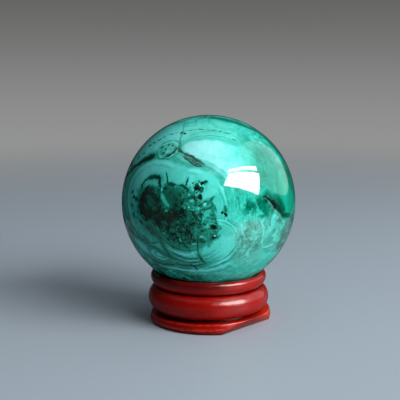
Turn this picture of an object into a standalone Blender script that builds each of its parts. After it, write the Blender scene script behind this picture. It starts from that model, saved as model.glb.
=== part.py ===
"""A polished malachite sphere resting in a turned, red-lacquered wooden ring stand.

Metres, +Z up. The origin is on the stand's underside, below the middle of the sphere. The sphere's
best face looks along -Y, with +X to the right of someone who looks at it.
"""

import math

import bmesh
import bpy
from mathutils import Matrix, Vector

MM = 0.001

# Driving sizes of the stone.
SPHERE_RADIUS = 25.0 * MM

# Driving sizes of the stand: radii from its axis, heights from its underside.
SEAT_GAP = 0.3 * MM
HOLE_RADIUS = 11.0 * MM
HOLE_CHAMFER = 0.4 * MM
SEAT_RADIUS = 15.25 * MM
RIM_TOP_RADIUS = 15.8 * MM
RIM_TOP_HEIGHT = 14.45 * MM
RIM_SWELL = 1.5 * MM
GROOVE_RADIUS = 14.75 * MM
GROOVE_HEIGHT = 10.55 * MM
BELLY_SWELL = 2.9 * MM
NECK_RADIUS = 14.65 * MM
NECK_HEIGHT = 3.6 * MM
FOOT_TOP_RADIUS = 17.3 * MM
FOOT_TOP_HEIGHT = 3.0 * MM
FOOT_EDGE_RADIUS = 17.7 * MM
FOOT_EDGE_HEIGHT = 1.5 * MM
FOOT_BASE_RADIUS = 17.65 * MM

# The foot is shaped by hand: it sits a little off the ring's axis, and grows thicker towards +X.
FOOT_SHIFT = 0.6 * MM
FOOT_RISE = 0.033  # height gained for each unit along +X

# One side of the foot is cut away by a flat that leans in under it.
FLAT_BEARING = math.radians(47.6)  # round from -Y towards +X
FLAT_BASE_APOTHEM = 14.1 * MM
FLAT_TOP_APOTHEM = 17.15 * MM

# How finely the round forms are divided.
SPHERE_SEGMENTS = 64
SPHERE_RINGS = 32
STAND_SEGMENTS = 72
SEAT_STEPS = 4
RIM_STEPS = 9
BELLY_STEPS = 13
SHARP_ANGLE = math.radians(35.0)

# The dish of the seat is part of a sphere that keeps the same gap to the stone all over.
SEAT_SPHERE_RADIUS = SPHERE_RADIUS + SEAT_GAP
SPHERE_HEIGHT = RIM_TOP_HEIGHT + math.sqrt(SEAT_SPHERE_RADIUS**2 - SEAT_RADIUS**2)


def clear_scene():
    for obj in list(bpy.data.objects):
        bpy.data.objects.remove(obj, do_unlink=True)


def principled(name, colour, roughness, metallic=0.0, coat=0.0):
    material = bpy.data.materials.new(name)
    material.use_nodes = True
    shader = material.node_tree.nodes["Principled BSDF"]
    shader.inputs["Base Color"].default_value = (*colour, 1.0)
    shader.inputs["Roughness"].default_value = roughness
    shader.inputs["Metallic"].default_value = metallic
    shader.inputs["Coat Weight"].default_value = coat
    material.diffuse_color = (*colour, 1.0)
    return material


def add_object(name, bm, material):
    """Turns a finished bmesh into a smooth-shaded object with one material."""
    bmesh.ops.recalc_face_normals(bm, faces=bm.faces)
    mesh = bpy.data.meshes.new(name)
    bm.to_mesh(mesh)
    bm.free()
    mesh.materials.append(material)
    mesh.shade_smooth()
    mesh.set_sharp_from_angle(angle=SHARP_ANGLE)
    obj = bpy.data.objects.new(name, mesh)
    bpy.context.scene.collection.objects.link(obj)
    return obj


def seat_height(radius):
    """Height of the dished seat at this radius."""
    return SPHERE_HEIGHT - math.sqrt(SEAT_SPHERE_RADIUS**2 - radius**2)


def seat_points():
    """The dish, from the hole out to the rim."""
    step = (SEAT_RADIUS - HOLE_RADIUS) / SEAT_STEPS
    radii = [HOLE_RADIUS + step * i for i in range(SEAT_STEPS + 1)]
    return [(radius, seat_height(radius)) for radius in radii]


def bead_points(start, end, swell, steps):
    """A half-round moulding that swells outwards between two points of the outline."""
    points = []
    for i in range(steps + 1):
        angle = math.pi * i / steps
        along = (1 - math.cos(angle)) / 2
        radius = start[0] + (end[0] - start[0]) * along + swell * math.sin(angle)
        height = start[1] + (end[1] - start[1]) * along
        points.append((radius, height))
    return points


def stand_outline():
    """The section of the ring as radius and height: up the hole, over the seat, down the outside."""
    rim_top = (RIM_TOP_RADIUS, RIM_TOP_HEIGHT)
    groove = (GROOVE_RADIUS, GROOVE_HEIGHT)
    neck = (NECK_RADIUS, NECK_HEIGHT)
    outline = [(HOLE_RADIUS + HOLE_CHAMFER, 0.0), (HOLE_RADIUS, HOLE_CHAMFER)]
    outline += seat_points()
    outline += bead_points(rim_top, groove, RIM_SWELL, RIM_STEPS)
    outline += bead_points(groove, neck, BELLY_SWELL, BELLY_STEPS)[1:]
    outline += [(NECK_RADIUS, FOOT_TOP_HEIGHT)]
    outline += [(FOOT_TOP_RADIUS, FOOT_TOP_HEIGHT)]
    outline += [(FOOT_EDGE_RADIUS, FOOT_EDGE_HEIGHT)]
    outline += [(FOOT_BASE_RADIUS, 0.0)]
    return outline


def turned(outline, segments):
    """Spins a closed outline round the Z axis into a closed ring."""
    bm = bmesh.new()
    verts = [bm.verts.new((radius, 0.0, height)) for radius, height in outline]
    edges = [bm.edges.new((verts[i - 1], verts[i])) for i in range(len(verts))]
    bmesh.ops.spin(
        bm,
        geom=verts + edges,
        cent=(0.0, 0.0, 0.0),
        axis=(0.0, 0.0, 1.0),
        angle=math.tau,
        steps=segments,
        use_merge=True,
    )
    return bm


def shape_foot(bm):
    """Shifts the foot's outer edges and tilts its top. The hole, the ring and the underside stay true."""
    above_foot = (FOOT_TOP_HEIGHT + NECK_HEIGHT) / 2
    above_underside = FOOT_EDGE_HEIGHT / 2
    hole_side = (HOLE_RADIUS + NECK_RADIUS) / 2
    neck_side = (NECK_RADIUS + FOOT_TOP_RADIUS) / 2
    for vert in bm.verts:
        radius = vert.co.xy.length
        if vert.co.z > above_foot or radius < hole_side:
            continue
        if radius > neck_side:
            vert.co.x += FOOT_SHIFT
        if vert.co.z > above_underside:
            vert.co.z += FOOT_RISE * vert.co.x


def cut_flat(bm):
    """Slices the flat off the foot with one leaning plane, and closes the cut."""
    outward = Vector((math.sin(FLAT_BEARING), -math.cos(FLAT_BEARING), 0.0))
    lean = Vector((0.0, 0.0, FOOT_TOP_HEIGHT)) + outward * (FLAT_TOP_APOTHEM - FLAT_BASE_APOTHEM)
    along = outward.cross(Vector((0.0, 0.0, 1.0)))
    normal = lean.cross(along).normalized()
    if normal.dot(outward) < 0:
        normal.negate()
    cut = bmesh.ops.bisect_plane(
        bm,
        geom=bm.verts[:] + bm.edges[:] + bm.faces[:],
        plane_co=outward * FLAT_BASE_APOTHEM,
        plane_no=normal,
        clear_outer=True,
    )
    rim = [item for item in cut["geom_cut"] if isinstance(item, bmesh.types.BMEdge)]
    bmesh.ops.contextual_create(bm, geom=rim)


def make_sphere():
    stone = principled("malachite", (0.07, 0.42, 0.33), 0.12, coat=0.5)
    bm = bmesh.new()
    bmesh.ops.create_uvsphere(
        bm,
        u_segments=SPHERE_SEGMENTS,
        v_segments=SPHERE_RINGS,
        radius=SPHERE_RADIUS,
        matrix=Matrix.Translation((0.0, 0.0, SPHERE_HEIGHT)),
    )
    return add_object("malachite_sphere", bm, stone)


def make_stand():
    lacquer = principled("red_lacquered_wood", (0.33, 0.012, 0.008), 0.22, coat=0.8)
    bm = turned(stand_outline(), STAND_SEGMENTS)
    shape_foot(bm)
    cut_flat(bm)
    return add_object("wooden_stand", bm, lacquer)


clear_scene()
make_sphere()
make_stand()
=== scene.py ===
# %% [markdown]
# A polished malachite sphere rests in a small turned ring of red-lacquered wood. This lesson dresses
# the two plain solids of that ornament: it models a finer stone and a finer stand over them, builds
# their finishes from shader nodes, and lights them softly, as an ornament is lit in a small studio.

# %% Load the plain solids
import math
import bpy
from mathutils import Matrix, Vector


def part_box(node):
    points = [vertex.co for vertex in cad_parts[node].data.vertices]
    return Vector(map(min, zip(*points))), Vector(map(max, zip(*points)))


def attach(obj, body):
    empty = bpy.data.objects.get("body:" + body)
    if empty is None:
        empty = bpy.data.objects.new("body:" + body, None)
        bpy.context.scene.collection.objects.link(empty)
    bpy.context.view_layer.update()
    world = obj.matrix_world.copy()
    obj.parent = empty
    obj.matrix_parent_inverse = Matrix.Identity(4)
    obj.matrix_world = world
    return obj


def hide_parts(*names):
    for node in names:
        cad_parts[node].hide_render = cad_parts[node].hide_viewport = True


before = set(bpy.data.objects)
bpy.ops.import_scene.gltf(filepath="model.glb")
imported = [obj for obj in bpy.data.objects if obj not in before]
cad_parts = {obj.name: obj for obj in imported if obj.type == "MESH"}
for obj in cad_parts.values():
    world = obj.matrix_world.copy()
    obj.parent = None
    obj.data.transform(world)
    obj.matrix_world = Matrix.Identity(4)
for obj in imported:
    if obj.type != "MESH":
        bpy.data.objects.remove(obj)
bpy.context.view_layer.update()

from types import SimpleNamespace

import bmesh
import bpy
from mathutils import Matrix, Vector, noise

MM = 0.001
STONE_LOW, STONE_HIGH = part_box("malachite_sphere")
STAND_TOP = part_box("wooden_stand")[1].z
STONE_RADIUS = (STONE_HIGH.z - STONE_LOW.z) / 2
STONE_MIDDLE = Vector((0.0, 0.0, (STONE_HIGH.z + STONE_LOW.z) / 2))
print(f"stone radius {STONE_RADIUS / MM:.2f} mm, middle {STONE_MIDDLE.z / MM:.2f} mm above the floor")

# %% [markdown]
# The camera stands about ten radii away and a little above the stone, so it looks nine degrees down.
# A long lens from there keeps the stone round. The camera aims slightly to the left of the stone,
# which puts the ornament right of the centre.

# %% Camera
CAMERA_BACK = 246.8 * MM
CAMERA_ABOVE = 39.7 * MM
CAMERA_DOWN = math.radians(9.03)
CAMERA_LEFT = math.radians(0.57)
LENS_MM = 77.8
SENSOR_MM = 36.0
NEAREST_SEEN = 10 * MM
FARTHEST_SEEN = 20.0


def add_camera():
    camera = bpy.data.objects.new("camera", bpy.data.cameras.new("camera"))
    camera.data.lens = LENS_MM
    camera.data.sensor_width = SENSOR_MM
    camera.data.clip_start = NEAREST_SEEN
    camera.data.clip_end = FARTHEST_SEEN
    camera.location = STONE_MIDDLE + Vector((0.0, -CAMERA_BACK, CAMERA_ABOVE))
    camera.rotation_euler = (math.pi / 2 - CAMERA_DOWN, 0.0, CAMERA_LEFT)
    bpy.context.scene.collection.objects.link(camera)
    bpy.context.scene.camera = camera
    return camera


camera = add_camera()
print("camera", [round(v, 4) for v in camera.location])

# %% [markdown]
# Places on a round stone are easiest to name as on a globe: a bearing, in degrees round from the
# front (-Y) towards the right (+X), and a height, in degrees above the stone's middle.


# %% Places on the stone
def toward(bearing, height):
    """The direction from the stone's middle to this bearing and height, as a unit vector."""
    b = math.radians(bearing)
    h = math.radians(height)
    return Vector((math.cos(h) * math.sin(b), -math.cos(h) * math.cos(b), math.sin(h)))


print("the best face looks along", [round(v) for v in toward(0, 0)])


# %% [markdown]
# The finishes are built from shader nodes. A few short helpers keep the recipes readable: each adds one
# node, feeds its inputs from numbers or from other nodes, and returns the socket that comes out.


# %% Node helpers: numbers and colours
def wire(tree, value, socket):
    """Feeds a socket from another socket, or sets it to a plain value."""
    if isinstance(value, bpy.types.NodeSocket):
        tree.links.new(value, socket)
    else:
        socket.default_value = value


def open_sockets(sockets):
    return [socket for socket in sockets if socket.enabled]


def add_math(tree, operation, *values, clamp=False):
    node = tree.nodes.new("ShaderNodeMath")
    node.operation = operation
    node.use_clamp = clamp
    for value, socket in zip(values, node.inputs):
        wire(tree, value, socket)
    return node.outputs["Value"]


def add_vector(tree, operation, *values):
    node = tree.nodes.new("ShaderNodeVectorMath")
    node.operation = operation
    for value, socket in zip(values, open_sockets(node.inputs)):
        wire(tree, value, socket)
    return open_sockets(node.outputs)[0]


def add_blend(tree, mask, under, over):
    """Mixes two numbers: under where the mask is 0, over where it is 1."""
    node = tree.nodes.new("ShaderNodeMix")
    node.data_type = "FLOAT"
    for value, socket in zip((mask, under, over), open_sockets(node.inputs)):
        wire(tree, value, socket)
    return open_sockets(node.outputs)[0]


def add_mix(tree, mask, under, over):
    """Mixes two colours: under where the mask is 0, over where it is 1."""
    node = tree.nodes.new("ShaderNodeMix")
    node.data_type = "RGBA"
    for value, socket in zip((mask, under, over), open_sockets(node.inputs)):
        wire(tree, value, socket)
    return open_sockets(node.outputs)[0]


def add_fade(tree, value, start, end, low=0.0, high=1.0):
    """A smooth step: low before start, high after end."""
    node = tree.nodes.new("ShaderNodeMapRange")
    node.interpolation_type = "SMOOTHSTEP"
    for given, socket in zip((value, start, end, low, high), open_sockets(node.inputs)):
        wire(tree, given, socket)
    return node.outputs["Result"]


# %% Node helpers: noises and ramps
def add_noise(tree, point, scale, detail=3.0, roughness=0.5, distortion=0.0, output="Fac"):
    node = tree.nodes.new("ShaderNodeTexNoise")
    node.inputs["Scale"].default_value = scale
    node.inputs["Detail"].default_value = detail
    node.inputs["Roughness"].default_value = roughness
    node.inputs["Distortion"].default_value = distortion
    tree.links.new(point, node.inputs["Vector"])
    return node.outputs[output]


def stretched_noise(tree, point, scale, detail=3.0):
    """Noise with a different pitch along each axis, for grain, fibres and brush marks."""
    drawn = tree.nodes.new("ShaderNodeMapping")
    drawn.inputs["Scale"].default_value = scale
    tree.links.new(point, drawn.inputs["Vector"])
    return add_noise(tree, drawn.outputs["Vector"], 1.0, detail=detail)


def add_line_noise(tree, along, pitch, seed, detail=2.0, roughness=0.5):
    """Noise along one number, which makes layers of uneven thickness."""
    place = add_math(tree, "MULTIPLY_ADD", along, pitch, seed)
    node = tree.nodes.new("ShaderNodeTexNoise")
    node.noise_dimensions = "1D"
    node.inputs["Scale"].default_value = 1.0
    node.inputs["Detail"].default_value = detail
    node.inputs["Roughness"].default_value = roughness
    tree.links.new(place, node.inputs["W"])
    return node.outputs["Fac"]


def add_ramp(tree, value, stops):
    """A colour ramp from (position, colour) pairs."""
    node = tree.nodes.new("ShaderNodeValToRGB")
    elements = node.color_ramp.elements
    while len(elements) < len(stops):
        elements.new(0.5)
    for element, (position, colour) in zip(elements, stops):
        element.position = position
        element.color = (*colour, 1.0)
    tree.links.new(value, node.inputs["Fac"])
    return node.outputs["Color"]


# %% [markdown]
# A shape that is drawn a hundred times is built once, as a node group with named inputs, and then
# placed with its own values each time. That keeps the node tree short and the recipe easy to follow.


# %% Node helpers: groups and materials
def start_group(name, inputs, outputs):
    """A new node group. Names that end in a star are vectors."""
    group = bpy.data.node_groups.new(name, "ShaderNodeTree")
    for labels, direction in ((inputs, "INPUT"), (outputs, "OUTPUT")):
        for label in labels:
            kind = "NodeSocketVector" if label.endswith("*") else "NodeSocketFloat"
            title = label.rstrip("*")
            group.interface.new_socket(name=title, in_out=direction, socket_type=kind)
    given = group.nodes.new("NodeGroupInput").outputs
    result = group.nodes.new("NodeGroupOutput").inputs
    return group, given, result


def use_group(tree, group, **values):
    node = tree.nodes.new("ShaderNodeGroup")
    node.node_tree = group
    for label, value in values.items():
        wire(tree, value, node.inputs[label])
    return node.outputs


def start_material(name):
    material = bpy.data.materials.new(name)
    material.use_nodes = True
    tree = material.node_tree
    return material, tree, tree.nodes["Principled BSDF"]


# %% [markdown]
# A glossy sphere shows its whole surroundings, so the light is planned by what the stone reflects: a
# pair of bright panels in front on the right, and a large dim oval further round that lays a pale veil
# over the stone's right shoulder. Each light is set up twice, as studio photographers do with cards
# and lamps: one panel that only shows as a mirror image, and one that only lights surfaces.

# %% Light panels
MIRROR_DISTANCE = 4.0  # times the planned distance, so that the mirror images hardly shift
LAMP_DISTANCE = 1.3
DAYLIGHT = (1.0, 0.99, 0.97)
SKYLIGHT = (0.93, 0.97, 1.0)


def add_panel(name, middle, across, upward, size, radiance, tint, mirrored, shape="RECTANGLE"):
    """A flat soft light with its own axes. Its power is worked out from how bright it should look."""
    distance = MIRROR_DISTANCE if mirrored else LAMP_DISTANCE
    light = bpy.data.lights.new(name, "AREA")
    light.shape = shape
    light.size = size[0] * distance
    light.size_y = size[1] * distance
    fullness = math.pi / 4 if shape == "ELLIPSE" else 1.0
    light.energy = radiance * math.pi * light.size * light.size_y * fullness
    light.color = tint
    panel = bpy.data.objects.new(name, light)
    x_axis = Vector(across).normalized()
    z_axis = x_axis.cross(Vector(upward)).normalized()
    y_axis = z_axis.cross(x_axis)
    turned = Matrix((x_axis, y_axis, z_axis)).transposed().to_4x4()
    turned.translation = STONE_MIDDLE + Vector(middle) * distance
    panel.matrix_world = turned
    panel.visible_camera = False
    panel.visible_glossy = mirrored
    panel.visible_diffuse = not mirrored
    bpy.context.scene.collection.objects.link(panel)
    return panel


KEY_ACROSS = Vector((0.27, 0.82, -0.50))
KEY_UPWARD = Vector((0.41, 0.37, 0.83))
KEY = Vector((0.372, -0.339, 0.327))
KEY_HIGH = KEY + KEY_UPWARD * 0.215 - KEY_ACROSS * 0.04  # a narrower panel above it
VEIL = Vector((0.600, 0.187, 0.354))
VEIL_ACROSS = Vector((0.024, 0.886, -0.463))
VEIL_UPWARD = Vector((-0.584, 0.388, 0.713))
add_panel("key_low", KEY, KEY_ACROSS, KEY_UPWARD, (0.56, 0.257), 21.0, DAYLIGHT, True)
add_panel("key_high", KEY_HIGH, KEY_ACROSS, KEY_UPWARD, (0.60, 0.09), 16.0, DAYLIGHT, True)
add_panel("veil", VEIL, VEIL_ACROSS, VEIL_UPWARD, (1.16, 0.66), 0.90, SKYLIGHT, True, "ELLIPSE")
add_panel("key_lamp", KEY, KEY_ACROSS, KEY_UPWARD, (0.56, 0.36), 12.6, DAYLIGHT, False)
add_panel("veil_lamp", VEIL, VEIL_ACROSS, VEIL_UPWARD, (0.95, 0.62), 0.55, SKYLIGHT, False)
print(f"{len(bpy.data.lights)} light panels")

# %% [markdown]
# The rest of the surroundings is a simple sky: nearly dark round the sides, so that the deep greens
# stay deep under the polish, and paler overhead. The camera sees a plain grey backdrop in its place, a
# little paler towards the floor.

# %% Surroundings
SKY_SIDES = (0.016, 0.018, 0.020, 1.0)
SKY_OVERHEAD = (0.46, 0.47, 0.47, 1.0)
SKY_FILL = (0.060, 0.063, 0.070, 1.0)  # lights matt surfaces from the sides, and isn't mirrored
OVERHEAD_FROM, OVERHEAD_FULL = 38, 72  # degrees above the horizon
BACKDROP_FROM, BACKDROP_FULL = -6, 6
BACKDROP_HIGH = (0.120, 0.120, 0.116, 1.0)
BACKDROP_LOW = (0.290, 0.295, 0.292, 1.0)


def sky_fade(tree, climb, start, end):
    """0 below one elevation and 1 above another, in degrees."""
    return add_fade(tree, climb, math.sin(math.radians(start)), math.sin(math.radians(end)))


def add_surroundings():
    world = bpy.data.worlds.new("surroundings")
    world.use_nodes = True
    tree = world.node_tree
    direction = tree.nodes.new("ShaderNodeTexCoord").outputs["Generated"]
    split = tree.nodes.new("ShaderNodeSeparateXYZ")
    tree.links.new(direction, split.inputs[0])
    climb = split.outputs["Z"]
    overhead = sky_fade(tree, climb, OVERHEAD_FROM, OVERHEAD_FULL)
    rays = tree.nodes.new("ShaderNodeLightPath")
    mirrored = add_mix(tree, overhead, SKY_SIDES, SKY_OVERHEAD)
    filled = add_mix(tree, overhead, SKY_FILL, SKY_OVERHEAD)
    around = add_mix(tree, rays.outputs["Is Glossy Ray"], filled, mirrored)
    upper = sky_fade(tree, climb, BACKDROP_FROM, BACKDROP_FULL)
    backdrop = add_mix(tree, upper, BACKDROP_LOW, BACKDROP_HIGH)
    shown = add_mix(tree, rays.outputs["Is Camera Ray"], around, backdrop)
    tree.links.new(shown, tree.nodes["Background"].inputs["Color"])
    bpy.context.scene.world = world


add_surroundings()
bpy.context.scene.view_settings.view_transform = "Standard"
print(f"surroundings: paler from {OVERHEAD_FROM} degrees up")

# %% [markdown]
# The floor is one even pale surface: a disc, and a wide ring round it. Only the disc shows in the
# stone and lights it from below, as a sheet of pale card would. The ring fades away into the backdrop,
# so there is no horizon line behind the object from any side.

# %% Floor
FLOOR_INNER = 0.125
FLOOR_FADE_START = 0.14
FLOOR_FADE_END = 0.60
FLOOR_SEGMENTS = 128
FLOOR_COLOUR = (0.350, 0.415, 0.485, 1.0)
FLOOR_MIRRORED = (0.10, 0.12, 0.14, 1.0)  # a dim mirror image keeps the stone's dark parts deep


def add_object(name, bm, material, smooth=True):
    """Turns a finished bmesh into an object with one material."""
    mesh = bpy.data.meshes.new(name)
    bm.to_mesh(mesh)
    bm.free()
    mesh.materials.append(material)
    if smooth:
        mesh.shade_smooth()
    obj = bpy.data.objects.new(name, mesh)
    bpy.context.scene.collection.objects.link(obj)
    return obj


def floor_material():
    material, tree, shader = start_material("floor_paint")
    rays = tree.nodes.new("ShaderNodeLightPath")
    colour = add_mix(tree, rays.outputs["Is Glossy Ray"], FLOOR_COLOUR, FLOOR_MIRRORED)
    tree.links.new(colour, shader.inputs["Base Color"])
    shader.inputs["Roughness"].default_value = 0.5
    place = tree.nodes.new("ShaderNodeTexCoord").outputs["Object"]
    reach = add_vector(tree, "LENGTH", place)
    solid = add_fade(tree, reach, FLOOR_FADE_START, FLOOR_FADE_END, 1.0, 0.0)
    tree.links.new(solid, shader.inputs["Alpha"])
    return material


def add_floor():
    paint = floor_material()
    disc = bmesh.new()
    bmesh.ops.create_circle(disc, cap_ends=True, segments=FLOOR_SEGMENTS, radius=FLOOR_INNER)
    ring = bmesh.new()
    bmesh.ops.create_circle(ring, cap_ends=False, segments=FLOOR_SEGMENTS, radius=FLOOR_INNER)
    rim = bmesh.ops.extrude_edge_only(ring, edges=ring.edges[:])
    rim_verts = [item for item in rim["geom"] if isinstance(item, bmesh.types.BMVert)]
    bmesh.ops.scale(ring, verts=rim_verts, vec=Vector((1, 1, 1)) * FLOOR_FADE_END / FLOOR_INNER)
    for bm in (disc, ring):
        bmesh.ops.recalc_face_normals(bm, faces=bm.faces)
        if sum(face.normal.z for face in bm.faces) < 0:
            bmesh.ops.reverse_faces(bm, faces=bm.faces)
    floor_middle = add_object("floor_middle", disc, paint, smooth=False)
    floor_ring = add_object("floor_ring", ring, paint, smooth=False)
    floor_ring.visible_glossy = False
    floor_ring.visible_diffuse = False
    print(f"floor: fades out {FLOOR_FADE_END / MM:.0f} mm from the middle")


add_floor()

# %% [markdown]
# The stone was ground and polished by hand between rotating cups, so it is round but not perfect. An
# icosphere has even faces all over, without the crowded poles of a globe, and a very shallow ripple
# bends the mirror images a little, as hand polishing does. Small open pits are left where soft
# or hollow spots broke out of the stone; they are sunk into the mesh itself.

# %% Stone mesh
STONE_SUBDIVISIONS = 7
RIPPLE_DEPTH = 0.0014  # of the radius
RIPPLE_LENGTH = 9 * MM
PIT_MARGIN = 1.6  # how far round a pit the mesh is made finer, times the pit's radius
PIT_REACH = 1.5  # how far out the bowl of a pit is looked for, times its radius
PIT_RAGGED = 0.35  # how much the rim of a pit wanders, as a share of its radius
PIT_WANDER = 60.0  # how often it wanders

# Bearing, height, radius in degrees, and depth in millimetres.
PITS = [
    (-28.0, 56.0, 1.1, 0.35),
    (-4.5, 19.8, 1.3, 0.45),
    (-8.0, 16.5, 1.3, 0.45),
    (-5.0, 11.0, 1.2, 0.45),
    (2.6, -6.6, 1.9, 0.55),
    (-55.5, 8.0, 1.6, 0.40),
    (10.0, 1.6, 1.1, 0.30),
    (3.0, -13.3, 1.2, 0.30),
    (150.0, 12.0, 1.8, 0.50),
    (154.5, 15.0, 1.1, 0.35),
    (-128.0, -14.0, 1.5, 0.45),
    (-102.0, 31.0, 1.2, 0.40),
]


def refine_near(bm, middle, spread, cuts):
    """Divides the edges that lie wholly within this angle of a direction."""
    near = math.cos(math.radians(spread))
    inside = {v for v in bm.verts if v.co.normalized().dot(middle) > near}
    edges = [e for e in bm.edges if e.verts[0] in inside and e.verts[1] in inside]
    bmesh.ops.subdivide_edges(bm, edges=edges, cuts=cuts, use_grid_fill=True)


def pit_depth(direction, radius, depth, middle):
    """How far a point sinks: a rounded bowl with a slightly ragged rim."""
    away = math.degrees(direction.angle(middle))
    ragged = 1 + PIT_RAGGED * noise.noise(direction * PIT_WANDER)
    share = min(away / (radius * ragged), 1.0)
    return depth * MM * (1 - share * share) ** 2


def make_stone():
    bm = bmesh.new()
    bmesh.ops.create_icosphere(bm, subdivisions=STONE_SUBDIVISIONS, radius=STONE_RADIUS)
    for bearing, height, radius, depth in PITS:
        refine_near(bm, toward(bearing, height), radius * PIT_MARGIN + 1.0, 2)
    bmesh.ops.triangulate(bm, faces=[f for f in bm.faces if len(f.verts) > 3])
    for vert in bm.verts:
        direction = vert.co.normalized()
        ripple = noise.noise(direction * STONE_RADIUS / RIPPLE_LENGTH) * 0.5 + 0.5
        vert.co = direction * STONE_RADIUS * (1 - RIPPLE_DEPTH * ripple)
    for bearing, height, radius, depth in PITS:
        middle = toward(bearing, height)
        near = math.cos(math.radians(radius * PIT_REACH))
        for vert in bm.verts:
            direction = vert.co.normalized()
            if direction.dot(middle) > near:
                vert.co -= direction * pit_depth(direction, radius, depth, middle)
    bmesh.ops.translate(bm, verts=bm.verts, vec=STONE_MIDDLE)
    bmesh.ops.recalc_face_normals(bm, faces=bm.faces)
    print(f"stone: {len(bm.faces)} faces, {len(PITS)} pits")
    return bm


# %% [markdown]
# Malachite grows in thin layers round many starting points, so a cut stone shows nested rings, lobes
# where neighbours met, and dark seams between them. Here the surface is painted as one number, the
# tone, from 0 for nearly black to 1 for the palest green. Layer after layer changes the tone, as a
# painter would, and a few ramps turn it into the stone's own colours at the end. Every shape is
# first measured as a reach: less than 1 is inside it, and shapes join by their smallest reach.

# %% Malachite: shapes
SPOT_REACH = 3.0  # how far out a spot is measured, times its own size
FAR_AWAY = 100.0  # added to a streak's reach on the far side of the stone


def facing(bearing, height, tilt=0.0):
    """The middle of a spot, and the turn that lays its axes along, across and out of the stone."""
    out = toward(bearing, height)
    b = math.radians(bearing)
    right = Vector((math.cos(b), math.sin(b), 0.0))
    upward = out.cross(right)
    t = math.radians(tilt)
    along = right * math.cos(t) + upward * math.sin(t)
    return out, Matrix((along, out.cross(along), out)).transposed().to_euler("XYZ")


def make_spot_group():
    """An oval spot."""
    group, given, result = start_group("spot", ["Point*", "Middle*", "Turn*", "Size*"], ["Reach"])
    local = group.nodes.new("ShaderNodeMapping")
    local.vector_type = "TEXTURE"
    for label, socket in zip(("Point", "Middle", "Turn", "Size"), local.inputs):
        group.links.new(given[label], socket)
    falloff = group.nodes.new("ShaderNodeTexGradient")
    falloff.gradient_type = "SPHERICAL"
    group.links.new(local.outputs["Vector"], falloff.inputs["Vector"])
    reach = add_math(group, "MULTIPLY_ADD", falloff.outputs["Fac"], -SPOT_REACH, SPOT_REACH)
    group.links.new(reach, result["Reach"])
    return group


def make_streak_group():
    """A tapering line that may bow to one side."""
    names = ["Point*", "Along*", "Across*", "Out*", "Bow"]
    group, given, result = start_group("streak", names, ["Reach"])
    along = add_vector(group, "DOT_PRODUCT", given["Point"], given["Along"])
    along_2 = add_math(group, "MULTIPLY", along, along)
    lift = add_math(group, "SUBTRACT", along_2, 1.0)
    across = add_vector(group, "DOT_PRODUCT", given["Point"], given["Across"])
    across = add_math(group, "MULTIPLY_ADD", lift, given["Bow"], across)
    along_4 = add_math(group, "MULTIPLY", along_2, along_2)
    reach = add_math(group, "SQRT", add_math(group, "MULTIPLY_ADD", across, across, along_4))
    outward = add_vector(group, "DOT_PRODUCT", given["Point"], given["Out"])
    far_side = add_math(group, "LESS_THAN", outward, 0.0)
    reach = add_math(group, "MULTIPLY_ADD", far_side, FAR_AWAY, reach)
    group.links.new(reach, result["Reach"])
    return group


SPOT = make_spot_group()
STREAK = make_streak_group()
print("node groups:", SPOT.name, "and", STREAK.name)

# %% [markdown]
# A brush carries the stone's tone, and each stroke changes it. A spot is an oval, and a streak a thin
# line that bows through three places. Within turns a shape into a mask with a frayed edge, halo into
# a soft one, and paint, shade and dab lay a tone through it.

# %% Malachite: spots and streaks
def nearest(brush, reaches):
    """Joins shapes, as they are made, into one."""
    joined = None
    for reach in reaches:
        joined = reach if joined is None else add_math(brush.tree, "MINIMUM", joined, reach)
    return joined


def spot(brush, bearing, height, wide, tall, tilt=0.0):
    """An oval, given by its half width and half height in degrees."""
    middle, turn = facing(bearing, height, tilt)
    size = Vector([math.radians(v) for v in (wide, tall, max(wide, tall))]) * SPOT_REACH
    drawn = use_group(brush.tree, SPOT, Point=brush.point, Middle=middle, Turn=turn, Size=size)
    return drawn["Reach"]


def spots(brush, places):
    return nearest(brush, (spot(brush, *place) for place in places))


def streak(brush, start, through, end, width):
    """A line from start to end through a third place, given its half width in degrees."""
    a, m, b = toward(*start), toward(*through), toward(*end)
    out = (a + b).normalized()
    along = (b - a).normalized()
    across = out.cross(along) / math.radians(width)
    length = (b - a).length / 2
    axes = {"Along": along / length, "Across": across, "Out": out}
    drawn = use_group(brush.tree, STREAK, Point=brush.point, Bow=m.dot(across), **axes)
    return drawn["Reach"]


def streaks(brush, traces):
    return nearest(brush, (streak(brush, *trace) for trace in traces))


# %% Malachite: brush strokes
def within(brush, reach, rough, fray, sharp):
    """1 inside a shape and 0 outside. A noise frays its edge, and a low sharpness blurs it."""
    edge = add_math(brush.tree, "MULTIPLY_ADD", rough, -fray * sharp, sharp + 0.5)
    return add_math(brush.tree, "MULTIPLY_ADD", reach, -sharp, edge, clamp=True)


def halo(brush, reach, out=2.6, strength=1.0):
    """A soft glow that is full inside a shape and fades away outside it."""
    return add_fade(brush.tree, reach, out, 0.6, 0.0, strength)


def add_ring(tree, reach, at, width):
    """A thin line where the reach has one value."""
    off = add_math(tree, "ABSOLUTE", add_math(tree, "SUBTRACT", reach, at))
    return add_fade(tree, off, width, 0.0)


def vary(brush, value, amount, around):
    """A number that sways round a middle value."""
    return add_math(brush.tree, "MULTIPLY_ADD", value, amount, around)


def faint(brush, mask, strength):
    """A weaker mask. The strength may be a number or another mask."""
    return add_math(brush.tree, "MULTIPLY", mask, strength)


def offset(brush, value, middle):
    """How far a value lies above a middle, or below it."""
    return add_math(brush.tree, "SUBTRACT", value, middle)


def paint(brush, mask, tone, strength=None):
    """Lays a tone over the stone where the mask is 1, or a thin coat of it."""
    coat = mask if strength is None else faint(brush, mask, strength)
    brush.tone = add_blend(brush.tree, coat, brush.tone, tone)


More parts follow.
